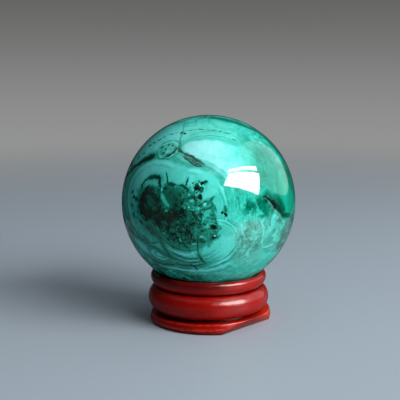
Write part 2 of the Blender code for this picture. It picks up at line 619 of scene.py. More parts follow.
def dab(brush, reach, rough, fray, sharp, tone, strength=None):
    """Paints a shape with a frayed edge, and returns its mask."""
    mask = within(brush, reach, rough, fray, sharp)
    paint(brush, mask, tone, strength)
    return mask


def shade(brush, mask, amount):
    """Makes the stone darker or paler where the mask is 1."""
    brush.tone = add_math(brush.tree, "MULTIPLY_ADD", mask, amount, brush.tone)


def stain(brush, hue, mask):
    """Remembers where the stone takes its colour from another ramp."""
    before = getattr(brush, hue)
    setattr(brush, hue, mask if before is None else add_math(brush.tree, "MAXIMUM", before, mask))


# %% [markdown]
# Every point of the stone belongs to the nearest place where growth began. The distance from there,
# less the first ring, is the age of its layer, and where two ages are equal there is a seam. Big eyes
# have no single middle, so their outline is melted together from several discs.

# %% Malachite: growth
# Starting points all round the stone, as bearing, height and the radius in degrees of their first ring.
SOURCES = [
    (0, 38, 17), (-62, 52, 6), (35, 72, 6), (64, 8, 9), (30, -12, 11), (50, -38, 9), (-25, -64, 11),
    (-82, -6, 14), (100, 38, 11), (112, -22, 17), (150, 10, 14), (165, 55, 9), (-165, -18, 17),
    (-140, 36, 11), (-112, 2, 13), (-104, -45, 11), (178, -62, 11), (70, -72, 6), (-95, 72, 6),
]


def add_growth(tree, point):
    """How long ago the layer at each point grew, and how close it is to a seam between neighbours."""
    nearest_age, second = None, None
    for bearing, height, first_ring in SOURCES:
        away = add_vector(tree, "DISTANCE", point, toward(bearing, height))
        age = add_math(tree, "SUBTRACT", away, math.radians(first_ring))
        if nearest_age is None:
            nearest_age, second = age, add_math(tree, "ADD", age, 3.0)
            continue
        farther = add_math(tree, "MAXIMUM", nearest_age, age)
        second = add_math(tree, "MINIMUM", second, farther)
        nearest_age = add_math(tree, "MINIMUM", nearest_age, age)
    return nearest_age, add_math(tree, "SUBTRACT", second, nearest_age)


def add_lobes(tree, point, discs, softness):
    """Distance to the outline of several discs melted together, in radians, negative inside."""
    outline = None
    for bearing, height, radius in discs:
        away = add_vector(tree, "DISTANCE", point, toward(bearing, height))
        edge = add_math(tree, "SUBTRACT", away, math.radians(radius))
        outline = edge if outline is None else add_math(tree, "SMOOTH_MIN", outline, edge, softness)
    return outline


# %% [markdown]
# Real layers waver, and broken ones show angular crystals. A few noises are made once and shared by
# all the strokes: they bend every place a little, fray the edges and mottle the tones.

# %% Malachite: shared patterns
CRYSTAL_SEED = (129.0, 311.7, 217.3)


def add_cells(tree, point, scale):
    """Angular cells, each with a number of its own from 0 to 1."""
    cells = tree.nodes.new("ShaderNodeTexVoronoi")
    cells.inputs["Scale"].default_value = scale
    tree.links.new(point, cells.inputs["Vector"])
    mixed = add_vector(tree, "DOT_PRODUCT", cells.outputs["Position"], CRYSTAL_SEED)
    return add_math(tree, "FRACT", mixed)


def stone_brush(tree):
    """The stone as a ball of radius one, gently warped, with the noises that every layer shares."""
    place = tree.nodes.new("ShaderNodeTexCoord").outputs["Object"]
    centred = tree.nodes.new("ShaderNodeMapping")
    centred.inputs["Location"].default_value = -STONE_MIDDLE / STONE_RADIUS
    centred.inputs["Scale"].default_value = Vector((1, 1, 1)) / STONE_RADIUS
    tree.links.new(place, centred.inputs["Vector"])
    brush = SimpleNamespace(tree=tree, emerald=None, grey=None, milk=None, brown=None, dull=None)
    brush.reach = add_vector(tree, "LENGTH", centred.outputs["Vector"])
    brush.ball = add_vector(tree, "NORMALIZE", centred.outputs["Vector"])
    brush.height = add_vector(tree, "DOT_PRODUCT", brush.ball, (0.0, 0.0, 1.0))
    sway = add_noise(tree, brush.ball, 2.6, detail=2.0, output="Color")
    jitter = add_noise(tree, brush.ball, 15.0, detail=3.0, roughness=0.6, output="Color")
    swayed = add_vector(tree, "MULTIPLY_ADD", sway, (0.05, 0.05, 0.05), brush.ball)
    swayed = add_vector(tree, "MULTIPLY_ADD", jitter, (0.030, 0.030, 0.030), swayed)
    brush.crystals = add_cells(tree, swayed, 19.0)
    brush.plates = add_cells(tree, swayed, 7.5)
    shifted = add_vector(tree, "SUBTRACT", swayed, (0.040, 0.040, 0.040))
    steps = add_math(tree, "MULTIPLY", brush.crystals, 0.006)
    faults = add_math(tree, "MULTIPLY_ADD", brush.plates, 0.004, steps)
    brush.point = add_vector(tree, "SUBTRACT", shifted, faults)
    folded = add_vector(tree, "MULTIPLY_ADD", sway, (0.24, 0.24, 0.24), brush.point)
    brush.folded = add_vector(tree, "SUBTRACT", folded, (0.12, 0.12, 0.12))
    rough = add_noise(tree, brush.ball, 17.0, detail=4.0, roughness=0.6)
    brush.ragged = add_math(tree, "MULTIPLY_ADD", rough, 3.0, -1.5)
    mottle = add_noise(tree, brush.ball, 9.0, detail=5.0, roughness=0.62, distortion=0.5)
    brush.mottle = add_math(tree, "MULTIPLY_ADD", mottle, 2.8, -1.4)
    grit = add_noise(tree, brush.ball, 32.0, detail=3.0, roughness=0.6)
    brush.grit = add_math(tree, "MULTIPLY_ADD", grit, 3.0, -1.5)
    brush.broken = add_math(tree, "MULTIPLY_ADD", brush.grit, 0.45, brush.mottle)
    veins = add_noise(tree, brush.ball, 12.0, detail=3.0, roughness=0.6, distortion=1.4)
    brush.threads = add_ring(tree, veins, 0.5, 0.035)
    return brush


# %% [markdown]
# The ground lies under everything: faint layers on the best face, bold dark and pale bands on the
# sides and the back, where the layers were cut straight across. Low down the stone is darker and
# mottled, up to the belt that rests on the seat.

# %% Malachite: ground
# Spots are given as bearing, height, half width, half height and tilt, all in degrees.
LEFT_LIMB = (-94, -10, 22, 42)
LOWER_LEFT = (-44, -45, 20, 9)
LOWER_RIGHT = (26, -43, 20, 7.5)


def paint_ground(brush):
    """Layers all over, bolder towards the back, with dark clefts where neighbours met."""
    tree = brush.tree
    behind = add_vector(tree, "DOT_PRODUCT", brush.ball, (0.0, 1.0, 0.0))
    backward = add_fade(tree, behind, -0.45, 0.15)
    age, seam = add_growth(tree, brush.folded)
    layers = add_line_noise(tree, age, 12.0, 4.3, detail=4.0, roughness=0.65)
    low = add_fade(tree, brush.height, 0.05, -0.35)
    boldness = add_fade(tree, vary(brush, low, 0.25, backward), 0.0, 1.0, 0.6, 2.5)
    brush.tone = add_math(tree, "MULTIPLY_ADD", offset(brush, layers, 0.5), boldness, 0.70)
    shade(brush, brush.mottle, vary(brush, low, 0.12, 0.13))
    cleft = add_fade(tree, vary(brush, brush.ragged, 0.012, seam), 0.06, 0.0)
    paint(brush, cleft, 0.10, backward)
    shade(brush, add_fade(tree, brush.height, -0.12, -0.55), -0.11)
    shade(brush, halo(brush, spot(brush, *LEFT_LIMB), 1.9), -0.08)


def paint_underside(brush):
    """A mottled belt where the stone meets its seat, and the darker zones just above it."""
    belt = add_fade(brush.tree, vary(brush, brush.ragged, 0.02, brush.height), -0.62, -0.69)
    paint(brush, belt, vary(brush, brush.broken, 0.42, vary(brush, brush.mottle, 0.12, 0.44)))
    lower_left = halo(brush, spot(brush, *LOWER_LEFT), 1.6)
    shade(brush, lower_left, vary(brush, brush.broken, 0.30, -0.16))
    mottled = vary(brush, brush.broken, 0.20, 0.62)
    dab(brush, spot(brush, *LOWER_RIGHT), brush.mottle, 0.5, 1.0, mottled, 0.85)


# %% [markdown]
# High on the best face the layers are pale and cloudy, and thin darker ones run over the cloud like
# contour lines. To its left sits a small round eye of its own, with a speckled middle.

# %% Malachite: clouds
PALE_CORNER = (-52, 44, 19, 17)
SHOULDER = (46, 28, 21, 23, -15)
CLOUD = [
    (0.0, 39.5, 16.5, 10.5, -4), (10.0, 33.0, 12.5, 9.5, -24), (-9.5, 43.0, 9.5, 6.5, -8),
    (21, 37.5, 10, 7.0, -30),
]
CLOUD_TOP = (-8, 48, 17, 14)
CLOUD_RIGHT = (38, 40, 22, 16)
CLOUD_LAYERS = [(1.14, 0.045), (1.24, 0.04), (1.40, 0.06)]  # the reach and the width of each thin layer


def paint_cloud(brush):
    """A pale cloud high on the best face, with thin layers over it."""
    tree = brush.tree
    dab(brush, spot(brush, *PALE_CORNER), brush.mottle, 0.4, 1.5, vary(brush, brush.broken, 0.22, 0.96))
    deep = vary(brush, brush.broken, 0.13, 0.36)
    dab(brush, spot(brush, *SHOULDER), brush.mottle, 0.3, 1.2, deep, 0.9)
    cloud = spots(brush, CLOUD)
    above = add_fade(tree, brush.height, 0.62, 0.72)
    above = faint(brush, above, halo(brush, spot(brush, *CLOUD_TOP), 1.6))
    paint(brush, add_fade(tree, cloud, 1.6, 1.15), vary(brush, brush.mottle, 0.15, 0.72), 0.5)
    for at, width in CLOUD_LAYERS:
        paint(brush, faint(brush, add_ring(tree, cloud, at, width), above), 0.42, 0.9)
    rightward = add_fade(tree, spot(brush, *CLOUD_RIGHT), 1.20, 0.35, 0.0, 0.85)
    core = within(brush, cloud, brush.ragged, 0.06, 4.0)
    core = faint(brush, core, add_math(tree, "SUBTRACT", 1.0, rightward))
    paint(brush, core, vary(brush, brush.mottle, 0.16, 0.90))
    stain(brush, "milk", faint(brush, core, 0.9))


# %% Malachite: the small round eye
ORB = (-35.5, 41.5, 7.6, 6.6)
ORB_MIDDLE = (-35.2, 39.7, 1.3, 1.0)
ORB_SPECKS = [
    (-43.7, 42.5, 0.9, 0.9), (-38.2, 44.7, 0.7, 0.9), (-33.3, 44.4, 0.9, 0.8),
    (-28.7, 42.5, 0.9, 1.0), (-38.1, 38.6, 1.0, 0.8), (-33.0, 37.7, 1.1, 0.7),
    (-29.2, 38.9, 1.2, 0.8), (-38.6, 41.4, 0.5, 0.6), (-32.8, 41.3, 0.5, 0.6),
]


def paint_orb(brush):
    """A small round eye of its own, with a speckled middle."""
    tree = brush.tree
    orb = vary(brush, brush.ragged, 0.07, spot(brush, *ORB))
    gaps = add_fade(tree, brush.grit, -0.6, 0.3, 0.25, 0.9)
    paint(brush, halo(brush, orb, 1.55, 0.6), vary(brush, brush.grit, 0.15, 0.60))
    paint(brush, add_ring(tree, orb, 1.10, 0.13), 0.34, gaps)
    paint(brush, add_fade(tree, orb, 1.04, 0.94), 0.70)
    paint(brush, add_ring(tree, orb, 0.86, 0.14), 0.90)
    paint(brush, add_ring(tree, orb, 0.66, 0.10), 0.46, gaps)
    specks = spots(brush, ORB_SPECKS)
    paint(brush, halo(brush, specks, 1.9, 0.6), 0.48)
    dab(brush, specks, brush.grit, 0.8, 1.2, 0.22)
    dab(brush, spot(brush, *ORB_MIDDLE), brush.grit, 0.3, 1.5, 0.92)


# %% [markdown]
# The best face has one big eye: a dark, broken heart of crystals, ringed by smooth pale layers
# that bulge into lobes. The layers follow the share of the way from the heart out to the rim, so they
# crowd where the ring is narrow and spread where it is wide, as real layers do.

# %% Malachite: the big eye
EYE_OUTLINE = [(-38, 8, 27), (-12, 6, 24), (0, -17, 18.5), (-36, -8, 25), (-17, -14, 22.5)]
HEART = [
    (-38.5, 5.5, 10.5), (-24, 9, 9.5), (-10, 2, 12.5), (-5, -7, 10), (-16, -10, 11.5), (-28, -2, 10),
    (-22, 1, 11),
]
EYE_SHOULDER = (-30, 27, 26, 9)
EYE_LOW_LEFT = (-47, -14, 20, 15, -25)
# Single layers, as the depth they lie at, their width, their strength and their tone.
EYE_LAYERS = [(0.87, 0.07, 0.9, 0.92), (0.74, 0.05, 0.6, 0.58), (0.985, 0.05, 0.7, 0.52)]


def paint_eye(brush):
    """Smooth layers round the heart, closer together where the ring is narrow."""
    tree = brush.tree
    outline = add_lobes(tree, brush.point, EYE_OUTLINE, 0.05)
    brush.heart = add_lobes(tree, brush.point, HEART, 0.06)
    over = add_fade(tree, brush.height, -0.1, 0.35)
    band = faint(brush, add_fade(tree, outline, 0.13, 0.04), over)
    paint(brush, band, vary(brush, brush.broken, 0.14, 0.54), 0.75)
    near = faint(brush, add_fade(tree, outline, 0.20, 0.03), 0.9)
    around = add_line_noise(tree, outline, 38.0, 2.0, detail=3.0)
    shade(brush, faint(brush, offset(brush, around, 0.5), near), 1.0)
    brush.depth = add_math(tree, "DIVIDE", brush.heart, offset(brush, brush.heart, outline))
    layers = add_line_noise(tree, brush.depth, 7.0, 7.7, detail=4.0, roughness=0.6)
    ring = SimpleNamespace(**vars(brush))
    ring.tone = vary(brush, layers, 0.80, 0.30)
    shade(ring, brush.mottle, 0.12)
    shade(ring, halo(brush, spot(brush, *EYE_SHOULDER), 1.8), 0.20)
    low_left = halo(brush, spot(brush, *EYE_LOW_LEFT), 1.9)
    shade(ring, low_left, -0.08)
    shade(ring, faint(brush, low_left, brush.broken), 0.34)
    for at, width, strength, tone in EYE_LAYERS:
        paint(ring, add_ring(tree, brush.depth, at, width), tone, strength)
    brush.eye = add_fade(tree, outline, 0.008, -0.006)
    paint(brush, brush.eye, ring.tone)


# %% Malachite: below the big eye
BOWL = (-17, -12, 15.5, 20.0)
LOW_LOBE = (3.5, -17, 16.0, 14.0, 60)


def paint_bowl(brush):
    """Layers that hang under the eye like nested bowls."""
    tree = brush.tree
    bowl = vary(brush, brush.ragged, 0.02, spot(brush, *BOWL))
    layers = add_line_noise(tree, bowl, 20.0, 5.1, detail=3.0, roughness=0.6)
    under = add_fade(tree, vary(brush, brush.mottle, 0.04, brush.height), -0.20, -0.34)
    paint(brush, add_fade(tree, bowl, 1.16, 1.06), vary(brush, layers, 1.20, 0.08), under)


def paint_low_lobe(brush):
    """A pale lobe at the eye's lower right, with layers inside it and round it."""
    tree = brush.tree
    lobe = vary(brush, brush.ragged, 0.02, spot(brush, *LOW_LOBE))
    around = add_line_noise(tree, lobe, 15.0, 1.4, detail=3.0)
    outside = add_fade(tree, lobe, 1.50, 1.08)
    shade(brush, faint(brush, offset(brush, around, 0.56), outside), 1.0)
    layers = add_line_noise(tree, lobe, 10.0, 3.3, detail=3.0)
    outer = add_fade(tree, lobe, 0.50, 0.95, 0.15, 0.85)
    tone = add_math(tree, "MULTIPLY_ADD", offset(brush, layers, 0.5), outer, 0.77)
    paint(brush, add_fade(tree, lobe, 1.03, 0.99), vary(brush, brush.mottle, 0.06, tone))
    paint(brush, add_ring(tree, lobe, 0.97, 0.05), 0.90, 0.8)


# %% [markdown]
# The heart is a broken mass of small crystals, each with its own dark green. Some broke off and lie
# scattered in the smooth layers round it, and a few faces catch the light. It is painted on a copy of
# the brush first and laid down whole, so that its edge stays one clean line.

# %% Malachite: the dark heart
HEART_SHADE = [(-42, 4, 8.5, 12, 0), (-34, -2, 7.5, 8, 0), (-24, -1, 4.5, 5, 10)]
HEART_LIGHT = (-3, 4, 8.5, 13, 15)
CRUMBS = (-27, -10, 20, 11)
HEART_FLOOR = (-16, -14, 14.5, 7, -8)
BOTTLE_GREEN = (-25, 12.5, 5.8, 5.6, 0)
MOSS = [
    (-38.5, 7, 3.0, 4.2, 15), (-35.5, 3, 2.2, 2.0, 0), (-41.5, 9.0, 1.8, 1.4, 0), (-37, -5, 3, 1.4, 0),
]


def paint_crumbs(brush):
    """Crystals that lie scattered in the smooth layers round the heart."""
    tree = brush.tree
    flecks = add_fade(tree, vary(brush, brush.broken, -0.60, brush.depth), 0.24, 0.02)
    paint(brush, flecks, vary(brush, brush.broken, 0.25, 0.30), faint(brush, brush.eye, 0.9))
    below = add_fade(tree, brush.height, 0.16, -0.05, 0.0, 0.75)
    crumbs = add_fade(tree, vary(brush, brush.broken, -1.05, brush.depth), 0.42, 0.12)
    crumbs = faint(brush, crumbs, halo(brush, spot(brush, *CRUMBS), 1.5))
    paint(brush, crumbs, vary(brush, brush.grit, 0.2, 0.30), below)


def paint_heart(brush):
    """The dark middle: black, bottle green and mid green crystals, with bright faces here and there."""
    tree = brush.tree
    heart = SimpleNamespace(**vars(brush))
    heart.tone = vary(brush, brush.broken, 0.32, vary(brush, brush.crystals, 0.26, 0.06))
    light = within(brush, spot(brush, *HEART_LIGHT), brush.mottle, 0.6, 1.0)
    shade(heart, light, vary(brush, brush.grit, 0.42, 0.15))
    black = vary(brush, brush.broken, 0.13, 0.07)
    shaded = dab(heart, spots(brush, HEART_SHADE), brush.mottle, 0.5, 1.6, black, 0.85)
    grains = vary(brush, brush.crystals, 0.28, vary(brush, brush.broken, 0.55, -0.10))
    dab(heart, spot(brush, *HEART_FLOOR), brush.mottle, 0.6, 1.3, grains, 0.85)
    threads = faint(brush, brush.threads, add_math(tree, "SUBTRACT", 1.0, shaded))
    paint(heart, threads, vary(brush, brush.grit, 0.35, 0.46), 0.75)
    bottle = vary(brush, brush.mottle, 0.08, 0.23)
    dab(heart, spot(brush, *BOTTLE_GREEN), brush.ragged, 0.4, 2.6, bottle, 0.85)
    dab(heart, spots(brush, MOSS), brush.broken, 1.0, 1.0, vary(brush, brush.broken, 0.30, 0.27), 0.8)
    faces = add_fade(tree, vary(brush, brush.grit, 0.20, brush.crystals), 0.80, 1.0)
    paint(heart, faces, 0.62, add_fade(tree, light, 0.0, 1.0, 0.12, 0.9))
    inside = add_fade(tree, vary(brush, brush.broken, 0.050, brush.heart), 0.014, -0.012)
    paint(brush, inside, heart.tone)
    stain(brush, "brown", faint(brush, inside, faint(brush, shaded, 0.55)))
    stain(brush, "dull", inside)


# %% [markdown]
# Round the heart the smooth layers carry small things of their own: pale lobes and fingers, a leaf
# that hangs into the heart, and dark cracks, branches and grains. Spots and streaks place them one
# by one, and the grit frays them, so that none looks drawn.

# %% Malachite: lobes and leaves round the heart
EYE_LOBES = [(-21.5, 24, 8.0, 7.0), (-2.5, 18.5, 9.0, 8.5, 30), (-38.5, 26, 9, 3.4, 4)]
# Streaks are given as start, a place on the way, end and half width.
FINGERS = [
    ((-46.0, 14.2), (-41.5, 18.4), (-33.4, 17.4), 1.3), ((-32.8, 26), (-31.3, 21), (-31.0, 16.5), 1.0),
]
LEAF = [((-31.2, 13.2), (-28.6, 8.8), (-25.0, 5.1), 1.15)]
LEAF_ROOTS = [
    ((-34, -7), (-32.6, -12), (-33.6, -20), 1.1), ((-41.5, -9), (-38, -11.5), (-35, -15.5), 0.9),
]


def paint_lobes(brush):
    """Smooth bulges of the layers, pale fingers, and a leaf with its roots."""
    dab(brush, spots(brush, EYE_LOBES), brush.ragged, 0.12, 4.0, vary(brush, brush.mottle, 0.12, 0.80))
    pale = vary(brush, brush.grit, 0.15, 0.70)
    dab(brush, streaks(brush, FINGERS), brush.ragged, 0.4, 1.4, pale, 0.8)
    dab(brush, streaks(brush, LEAF_ROOTS), brush.broken, 0.6, 1.0, 0.62, 0.8)
    dab(brush, streaks(brush, LEAF), brush.ragged, 0.4, 1.8, vary(brush, brush.grit, 0.12, 0.68), 0.95)


# %% Malachite: cracks and grains round the heart
ARCH = [
    ((-48.2, 12.5), (-47.2, 17.5), (-43.0, 21.2), 0.5),
    ((-44.5, 20.4), (-39, 22.2), (-33.6, 22.0), 1.2),
    ((-34.0, 22.4), (-33.7, 19.5), (-32.4, 16.2), 0.6),
]
CRACKS = [
    ((-29.9, 25.6), (-28.5, 22.4), (-27.4, 18.8), 0.4),
    ((-27.8, 19), (-25.5, 18.4), (-21.5, 17.9), 0.8), ((-13.4, 23), (-14.2, 20), (-14.9, 17), 0.45),
    ((-20.5, 17.8), (-16, 17.2), (-12.6, 14), 0.9),
]
CLUSTER = [
    (-4.0, 19.8, 2.4, 1.1, 20), (-7.4, 17.6, 2.2, 2.6, -20), (-5.5, 16.2, 2.6, 1.6, 30),
    (-5.6, 11.4, 1.1, 1.5, 0),
]
BRANCHES = [
    ((3.2, 11.2), (1.4, 9.6), (-1.6, 6.2), 0.6), ((1.0, 5.4), (-0.6, 4.6), (-2.4, 3.4), 0.6),
    ((4.2, 3.6), (3.2, 5.4), (1.4, 8.4), 0.4),
]
SMALL_MARKS = [
    (-51.7, 6.6, 1.9, 1.6, 0), (-56.5, 2.2, 1.2, 0.8, 0), (-48.9, 2.0, 1.4, 1.2, 0),
    (-54.5, -3.6, 1.0, 1.5, 0), (-46.5, -6.8, 2.0, 1.0, -30), (-41.5, -9.4, 1.6, 0.9, 0),
    (10.0, 4.2, 0.9, 1.6, 10), (10.2, 1.2, 0.9, 1.0, 0), (8.2, 2.6, 0.6, 0.8, 0),
    (2.5, -6.4, 2.2, 1.4, -25), (3.0, -13.4, 2.3, 1.3, 10), (-31.5, 56.4, 1.2, 1.1, 0),
    (-26.0, 41.8, 1.0, 1.7, 0), (-57.5, 10.5, 0.9, 1.2, 0), (-50.0, -0.8, 1.0, 0.8, 0),
    (-37.5, -12.4, 1.8, 1.0, -30),
]
GLINTS = [
    (-10.2, 8.7, 1.5, 0.8, 10), (-12.1, 12.3, 0.8, 0.7, 0), (-2.4, 6.8, 1.1, 0.9, 20),
    (-12.5, 4.6, 0.7, 0.5, 0), (-14.9, 4.2, 0.6, 0.8, 0), (-4.9, -12.8, 1.2, 0.6, 0),
    (-13.2, 0.6, 0.6, 0.6, 0), (-9.8, 3.7, 0.6, 0.7, 0), (-6.4, 4.8, 0.9, 0.6, 0),
    (-26.6, 2.5, 1.1, 0.8, 0), (-31.5, 15.3, 0.8, 1.2, 0), (-17.5, -15.5, 0.6, 1.2, 0),
    (-8.5, -17.5, 1.8, 0.5, 10), (-28.5, -12.0, 0.8, 0.5, 0), (3.4, -12.4, 0.9, 0.6, 0),
]


def paint_round_heart(brush):
    """Dark marks in the smooth layers, each with a soft shadow, and the bright glints over them."""
    arch = streaks(brush, ARCH)
    paint(brush, halo(brush, vary(brush, brush.ragged, 0.5, arch), 3.4, 0.65), 0.34)
    dab(brush, arch, brush.broken, 0.9, 1.3, 0.08)
    cracks = streaks(brush, CRACKS)
    paint(brush, halo(brush, cracks, 3.4, 0.5), 0.42)
    dab(brush, cracks, brush.broken, 0.7, 1.3, 0.13)
    cluster = spots(brush, CLUSTER)
    dab(brush, cluster, brush.broken, 1.2, 0.8, 0.38, 0.7)
    dab(brush, cluster, brush.grit, 1.3, 1.8, vary(brush, brush.crystals, 0.16, 0.05))
    branches = streaks(brush, BRANCHES)
    paint(brush, halo(brush, branches, 3.0, 0.5), 0.40)
    dab(brush, branches, brush.broken, 1.1, 1.0, 0.20, 0.75)
    marks = spots(brush, SMALL_MARKS)
    paint(brush, halo(brush, vary(brush, brush.broken, 0.6, marks), 2.2, 0.6), 0.36)
    dab(brush, marks, brush.grit, 0.6, 2.0, 0.06)
    dab(brush, spots(brush, GLINTS), brush.grit, 1.0, 1.6, 0.82)


# %% [markdown]
# On the right of the eye the stone changes its nature. Rubble of grey-green grains and angular chips
# grew together again low down. Above it a patch of emerald fibres runs into a black wedge and a smooth
# deep band that follows the stone's edge.

# %% Malachite: rubble and chips
RUBBLE = [(28, -14, 11.5, 12, 0), (29, -28, 11, 8, -20)]
RUBBLE_SHADOW = [(26, -14, 3.0, 8, 8), (33, -22, 2.6, 6, -10)]
SMOOTH_CORNER = (47, -34, 16, 10, -10)
GREY_REFLECTION_LIMB = [(63.5, -17.5, 8.0, 9.0, 18), (59, -26, 5.0, 4.0, 0), (68, -10, 7, 6, 0)]
CHIPS = [(45, -8, 8.0, 9.5, 0), (48, -19, 9.5, 8.0, 0)]
PALE_CHIPS = [(44.8, -5.4, 2.6, 4.2, -12), (44, -22.8, 4.8, 0.8, 4)]
DARK_CHIPS = [(37.6, -7.5, 1.8, 4.4, 8), (44.5, -13.5, 3.4, 1.6, 30)]
SCALLOP = [
    ((32.0, -2.0), (36.2, -9.0), (36.8, -17.0), 0.4),
    ((36.8, -16.0), (38.0, -20.5), (37.6, -26.0), 0.4),
]


def paint_rubble(brush):
    """Grey-green grains and angular chips that grew together again, and a painted grey reflection."""
    grains = vary(brush, brush.broken, 0.22, vary(brush, brush.grit, 0.11, 0.57))
    rubble = dab(brush, spots(brush, RUBBLE), brush.mottle, 0.35, 1.6, grains)
    shade(brush, within(brush, spots(brush, RUBBLE_SHADOW), brush.broken, 0.9, 0.8), -0.16)
    stain(brush, "grey", faint(brush, rubble, 0.55))
    smooth = vary(brush, brush.broken, 0.16, 0.64)
    dab(brush, spot(brush, *SMOOTH_CORNER), brush.mottle, 0.3, 1.6, smooth)
    plates = vary(brush, brush.mottle, 0.12, vary(brush, brush.plates, 0.34, 0.42))
    chips = dab(brush, spots(brush, CHIPS), brush.ragged, 0.4, 2.0, plates)
    stain(brush, "grey", faint(brush, chips, 0.35))
    dab(brush, spots(brush, DARK_CHIPS), brush.ragged, 0.3, 4.0, vary(brush, brush.mottle, 0.15, 0.50))
    pale = vary(brush, brush.grit, 0.12, 0.76)
    dab(brush, spots(brush, PALE_CHIPS), brush.ragged, 0.3, 4.0, pale, 0.85)
    dab(brush, streaks(brush, SCALLOP), brush.grit, 0.9, 1.2, 0.84, 0.7)
    # Painted reflection: a grey patch near the stone's lower right edge.
    grey = vary(brush, brush.mottle, 0.2, 0.36)
    reflected_limb = dab(brush, spots(brush, GREY_REFLECTION_LIMB), brush.broken, 0.7, 1.1, grey)
    stain(brush, "grey", faint(brush, reflected_limb, 0.9))


# %% Malachite: emerald fibres
FIBRES = (25, 7, 13.5, 10.5)
FIBRE_PITCH = (60.0, 60.0, 9.0)  # fine across and coarse along, so that they stand upright
DEEP_FIBRES = [
    (34.6, 6.6, 5.2, 4.4, -18), (38.0, 1.4, 3.4, 5.0, -12), (35.0, -1.6, 3.6, 1.4, 0),
    (27.0, 6.4, 3.6, 2.6, 10),
]
FIBRE_SPECKS = (27.5, 4.4, 5.4, 4.6)
PALE_GRAINS = [(17, 1, 3.6, 4.0, 0), (22, 6, 2.2, 2.4, 0)]


def paint_fibres(brush):
    """A patch of emerald fibres, with pale grains on its left and dark specks through it."""
    tree = brush.tree
    hairs = stretched_noise(tree, brush.point, FIBRE_PITCH, detail=2.0)
    strands = vary(brush, brush.mottle, 0.20, vary(brush, hairs, 0.9, 0.17))
    fibres = dab(brush, spot(brush, *FIBRES), brush.mottle, 0.30, 1.6, strands)
    stain(brush, "emerald", faint(brush, fibres, 0.55))
    dab(brush, spots(brush, PALE_GRAINS), brush.broken, 0.5, 1.5, vary(brush, brush.grit, 0.2, 0.74))
    bunches = vary(brush, brush.broken, 0.25, 0.38)
    deep = dab(brush, spots(brush, DEEP_FIBRES), brush.broken, 0.9, 1.2, bunches, 0.95)
    stain(brush, "emerald", deep)
    specks = within(brush, spot(brush, *FIBRE_SPECKS), brush.mottle, 0.5, 1.2)
    dark = add_fade(tree, vary(brush, brush.grit, 0.9, brush.crystals), 0.62, 0.30, 0.0, 0.8)
    paint(brush, specks, 0.30, dark)


# %% Malachite: the smooth band and the black wedge
OUTER_BAND = [((70, -2), (79, 34), (72, 58), 6.0), ((76, 50), (50, 70), (-10, 79), 3.2)]
BAND = (60.5, 12, 12.5, 19, -3)
BAND_STRIPE = ((56.5, -2), (57.5, 12), (58, 27), 3.4)
WEDGE = [((36.8, 9.8), (43.5, 5.6), (48.4, 1.4), 0.9), ((42.0, 6.6), (47.4, 3.0), (52.5, -2.2), 1.7)]
WEDGE_SHADE = [((43.0, 7.6), (48.5, 4.6), (54.0, -1.6), 2.2), ((52, -2.2), (58, -4.0), (64, -4.8), 0.8)]
CHAIN = [((37.0, 9.2), (43.0, 3.6), (49.0, -1.4), 0.5), ((48.6, -1.0), (52.5, -5.0), (54.8, -9.0), 0.7)]


def paint_band(brush):
    """The deep band along the stone's edge, the black wedge beside it and a chain of pale grains."""
    edge = vary(brush, brush.mottle, 0.12, 0.42)
    outer = dab(brush, streaks(brush, OUTER_BAND), brush.ragged, 0.10, 1.6, edge, 0.9)
    stain(brush, "emerald", outer)
    reach = spot(brush, *BAND)
    layers = add_line_noise(brush.tree, reach, 6.0, 0.6, detail=3.0)
    band = dab(brush, reach, brush.ragged, 0.04, 9.0, vary(brush, layers, 0.30, 0.37))
    stripe = vary(brush, layers, 0.30, 0.50)
    dab(brush, streak(brush, *BAND_STRIPE), brush.ragged, 0.1, 1.2, stripe, 0.7)
    stain(brush, "emerald", band)
    shadow = streaks(brush, WEDGE_SHADE)
    paint(brush, halo(brush, vary(brush, brush.ragged, 0.25, shadow), 3.0, 0.9), 0.17)
    dab(brush, streaks(brush, WEDGE), brush.ragged, 0.5, 0.9, 0.04)
    chain = streaks(brush, CHAIN)
    dab(brush, chain, brush.grit, 1.3, 1.6, vary(brush, brush.grit, 0.5, 0.60))
    stain(brush, "grey", within(brush, chain, brush.ragged, 0.3, 1.2))


# %% [markdown]
# Over the patches run single lines. Some are layers that came out paler or darker than their
# neighbours. The boldest are seams: where two families of layers met, the stone closed late, so they
# are nearly black, ragged and branching, with a soft green shadow on both sides.

# %% Malachite: low on the left
BOWL_LIGHT = [(-54, -24, 7.0, 4.2, -22), (-42.5, -25.4, 3.0, 1.6, -30)]
GREY_BLOTS = [
    (-39.0, -10.4, 4.6, 3.0, -30), (-33.8, -13.5, 2.2, 3.2, 0), (-45, -17.5, 3.0, 1.2, -20),
    (-47, -39, 4.5, 1.6, -20),
]
LOW_ORB = (-37.4, -28.2, 7.2, 3.9, -18)


def paint_low_marks(brush):
    """A pale patch, grey blots and a small flat eye, low on the left."""
    tree = brush.tree
    pale = vary(brush, brush.mottle, 0.14, 0.84)
    dab(brush, spots(brush, BOWL_LIGHT), brush.ragged, 0.3, 1.3, pale, 0.85)
    grey = vary(brush, brush.grit, 0.15, 0.22)
    dab(brush, spots(brush, GREY_BLOTS), brush.broken, 0.55, 1.3, grey, 0.85)
    orb = vary(brush, brush.ragged, 0.10, spot(brush, *LOW_ORB))
    paint(brush, halo(brush, orb, 1.8, 0.85), vary(brush, brush.grit, 0.12, 0.22))
    paint(brush, add_fade(tree, orb, 1.06, 0.94), 0.66)
    paint(brush, add_ring(tree, orb, 0.80, 0.18), 0.92)
    paint(brush, add_ring(tree, orb, 0.52, 0.14), 0.50)
    paint(brush, add_fade(tree, orb, 0.38, 0.2), 0.98)


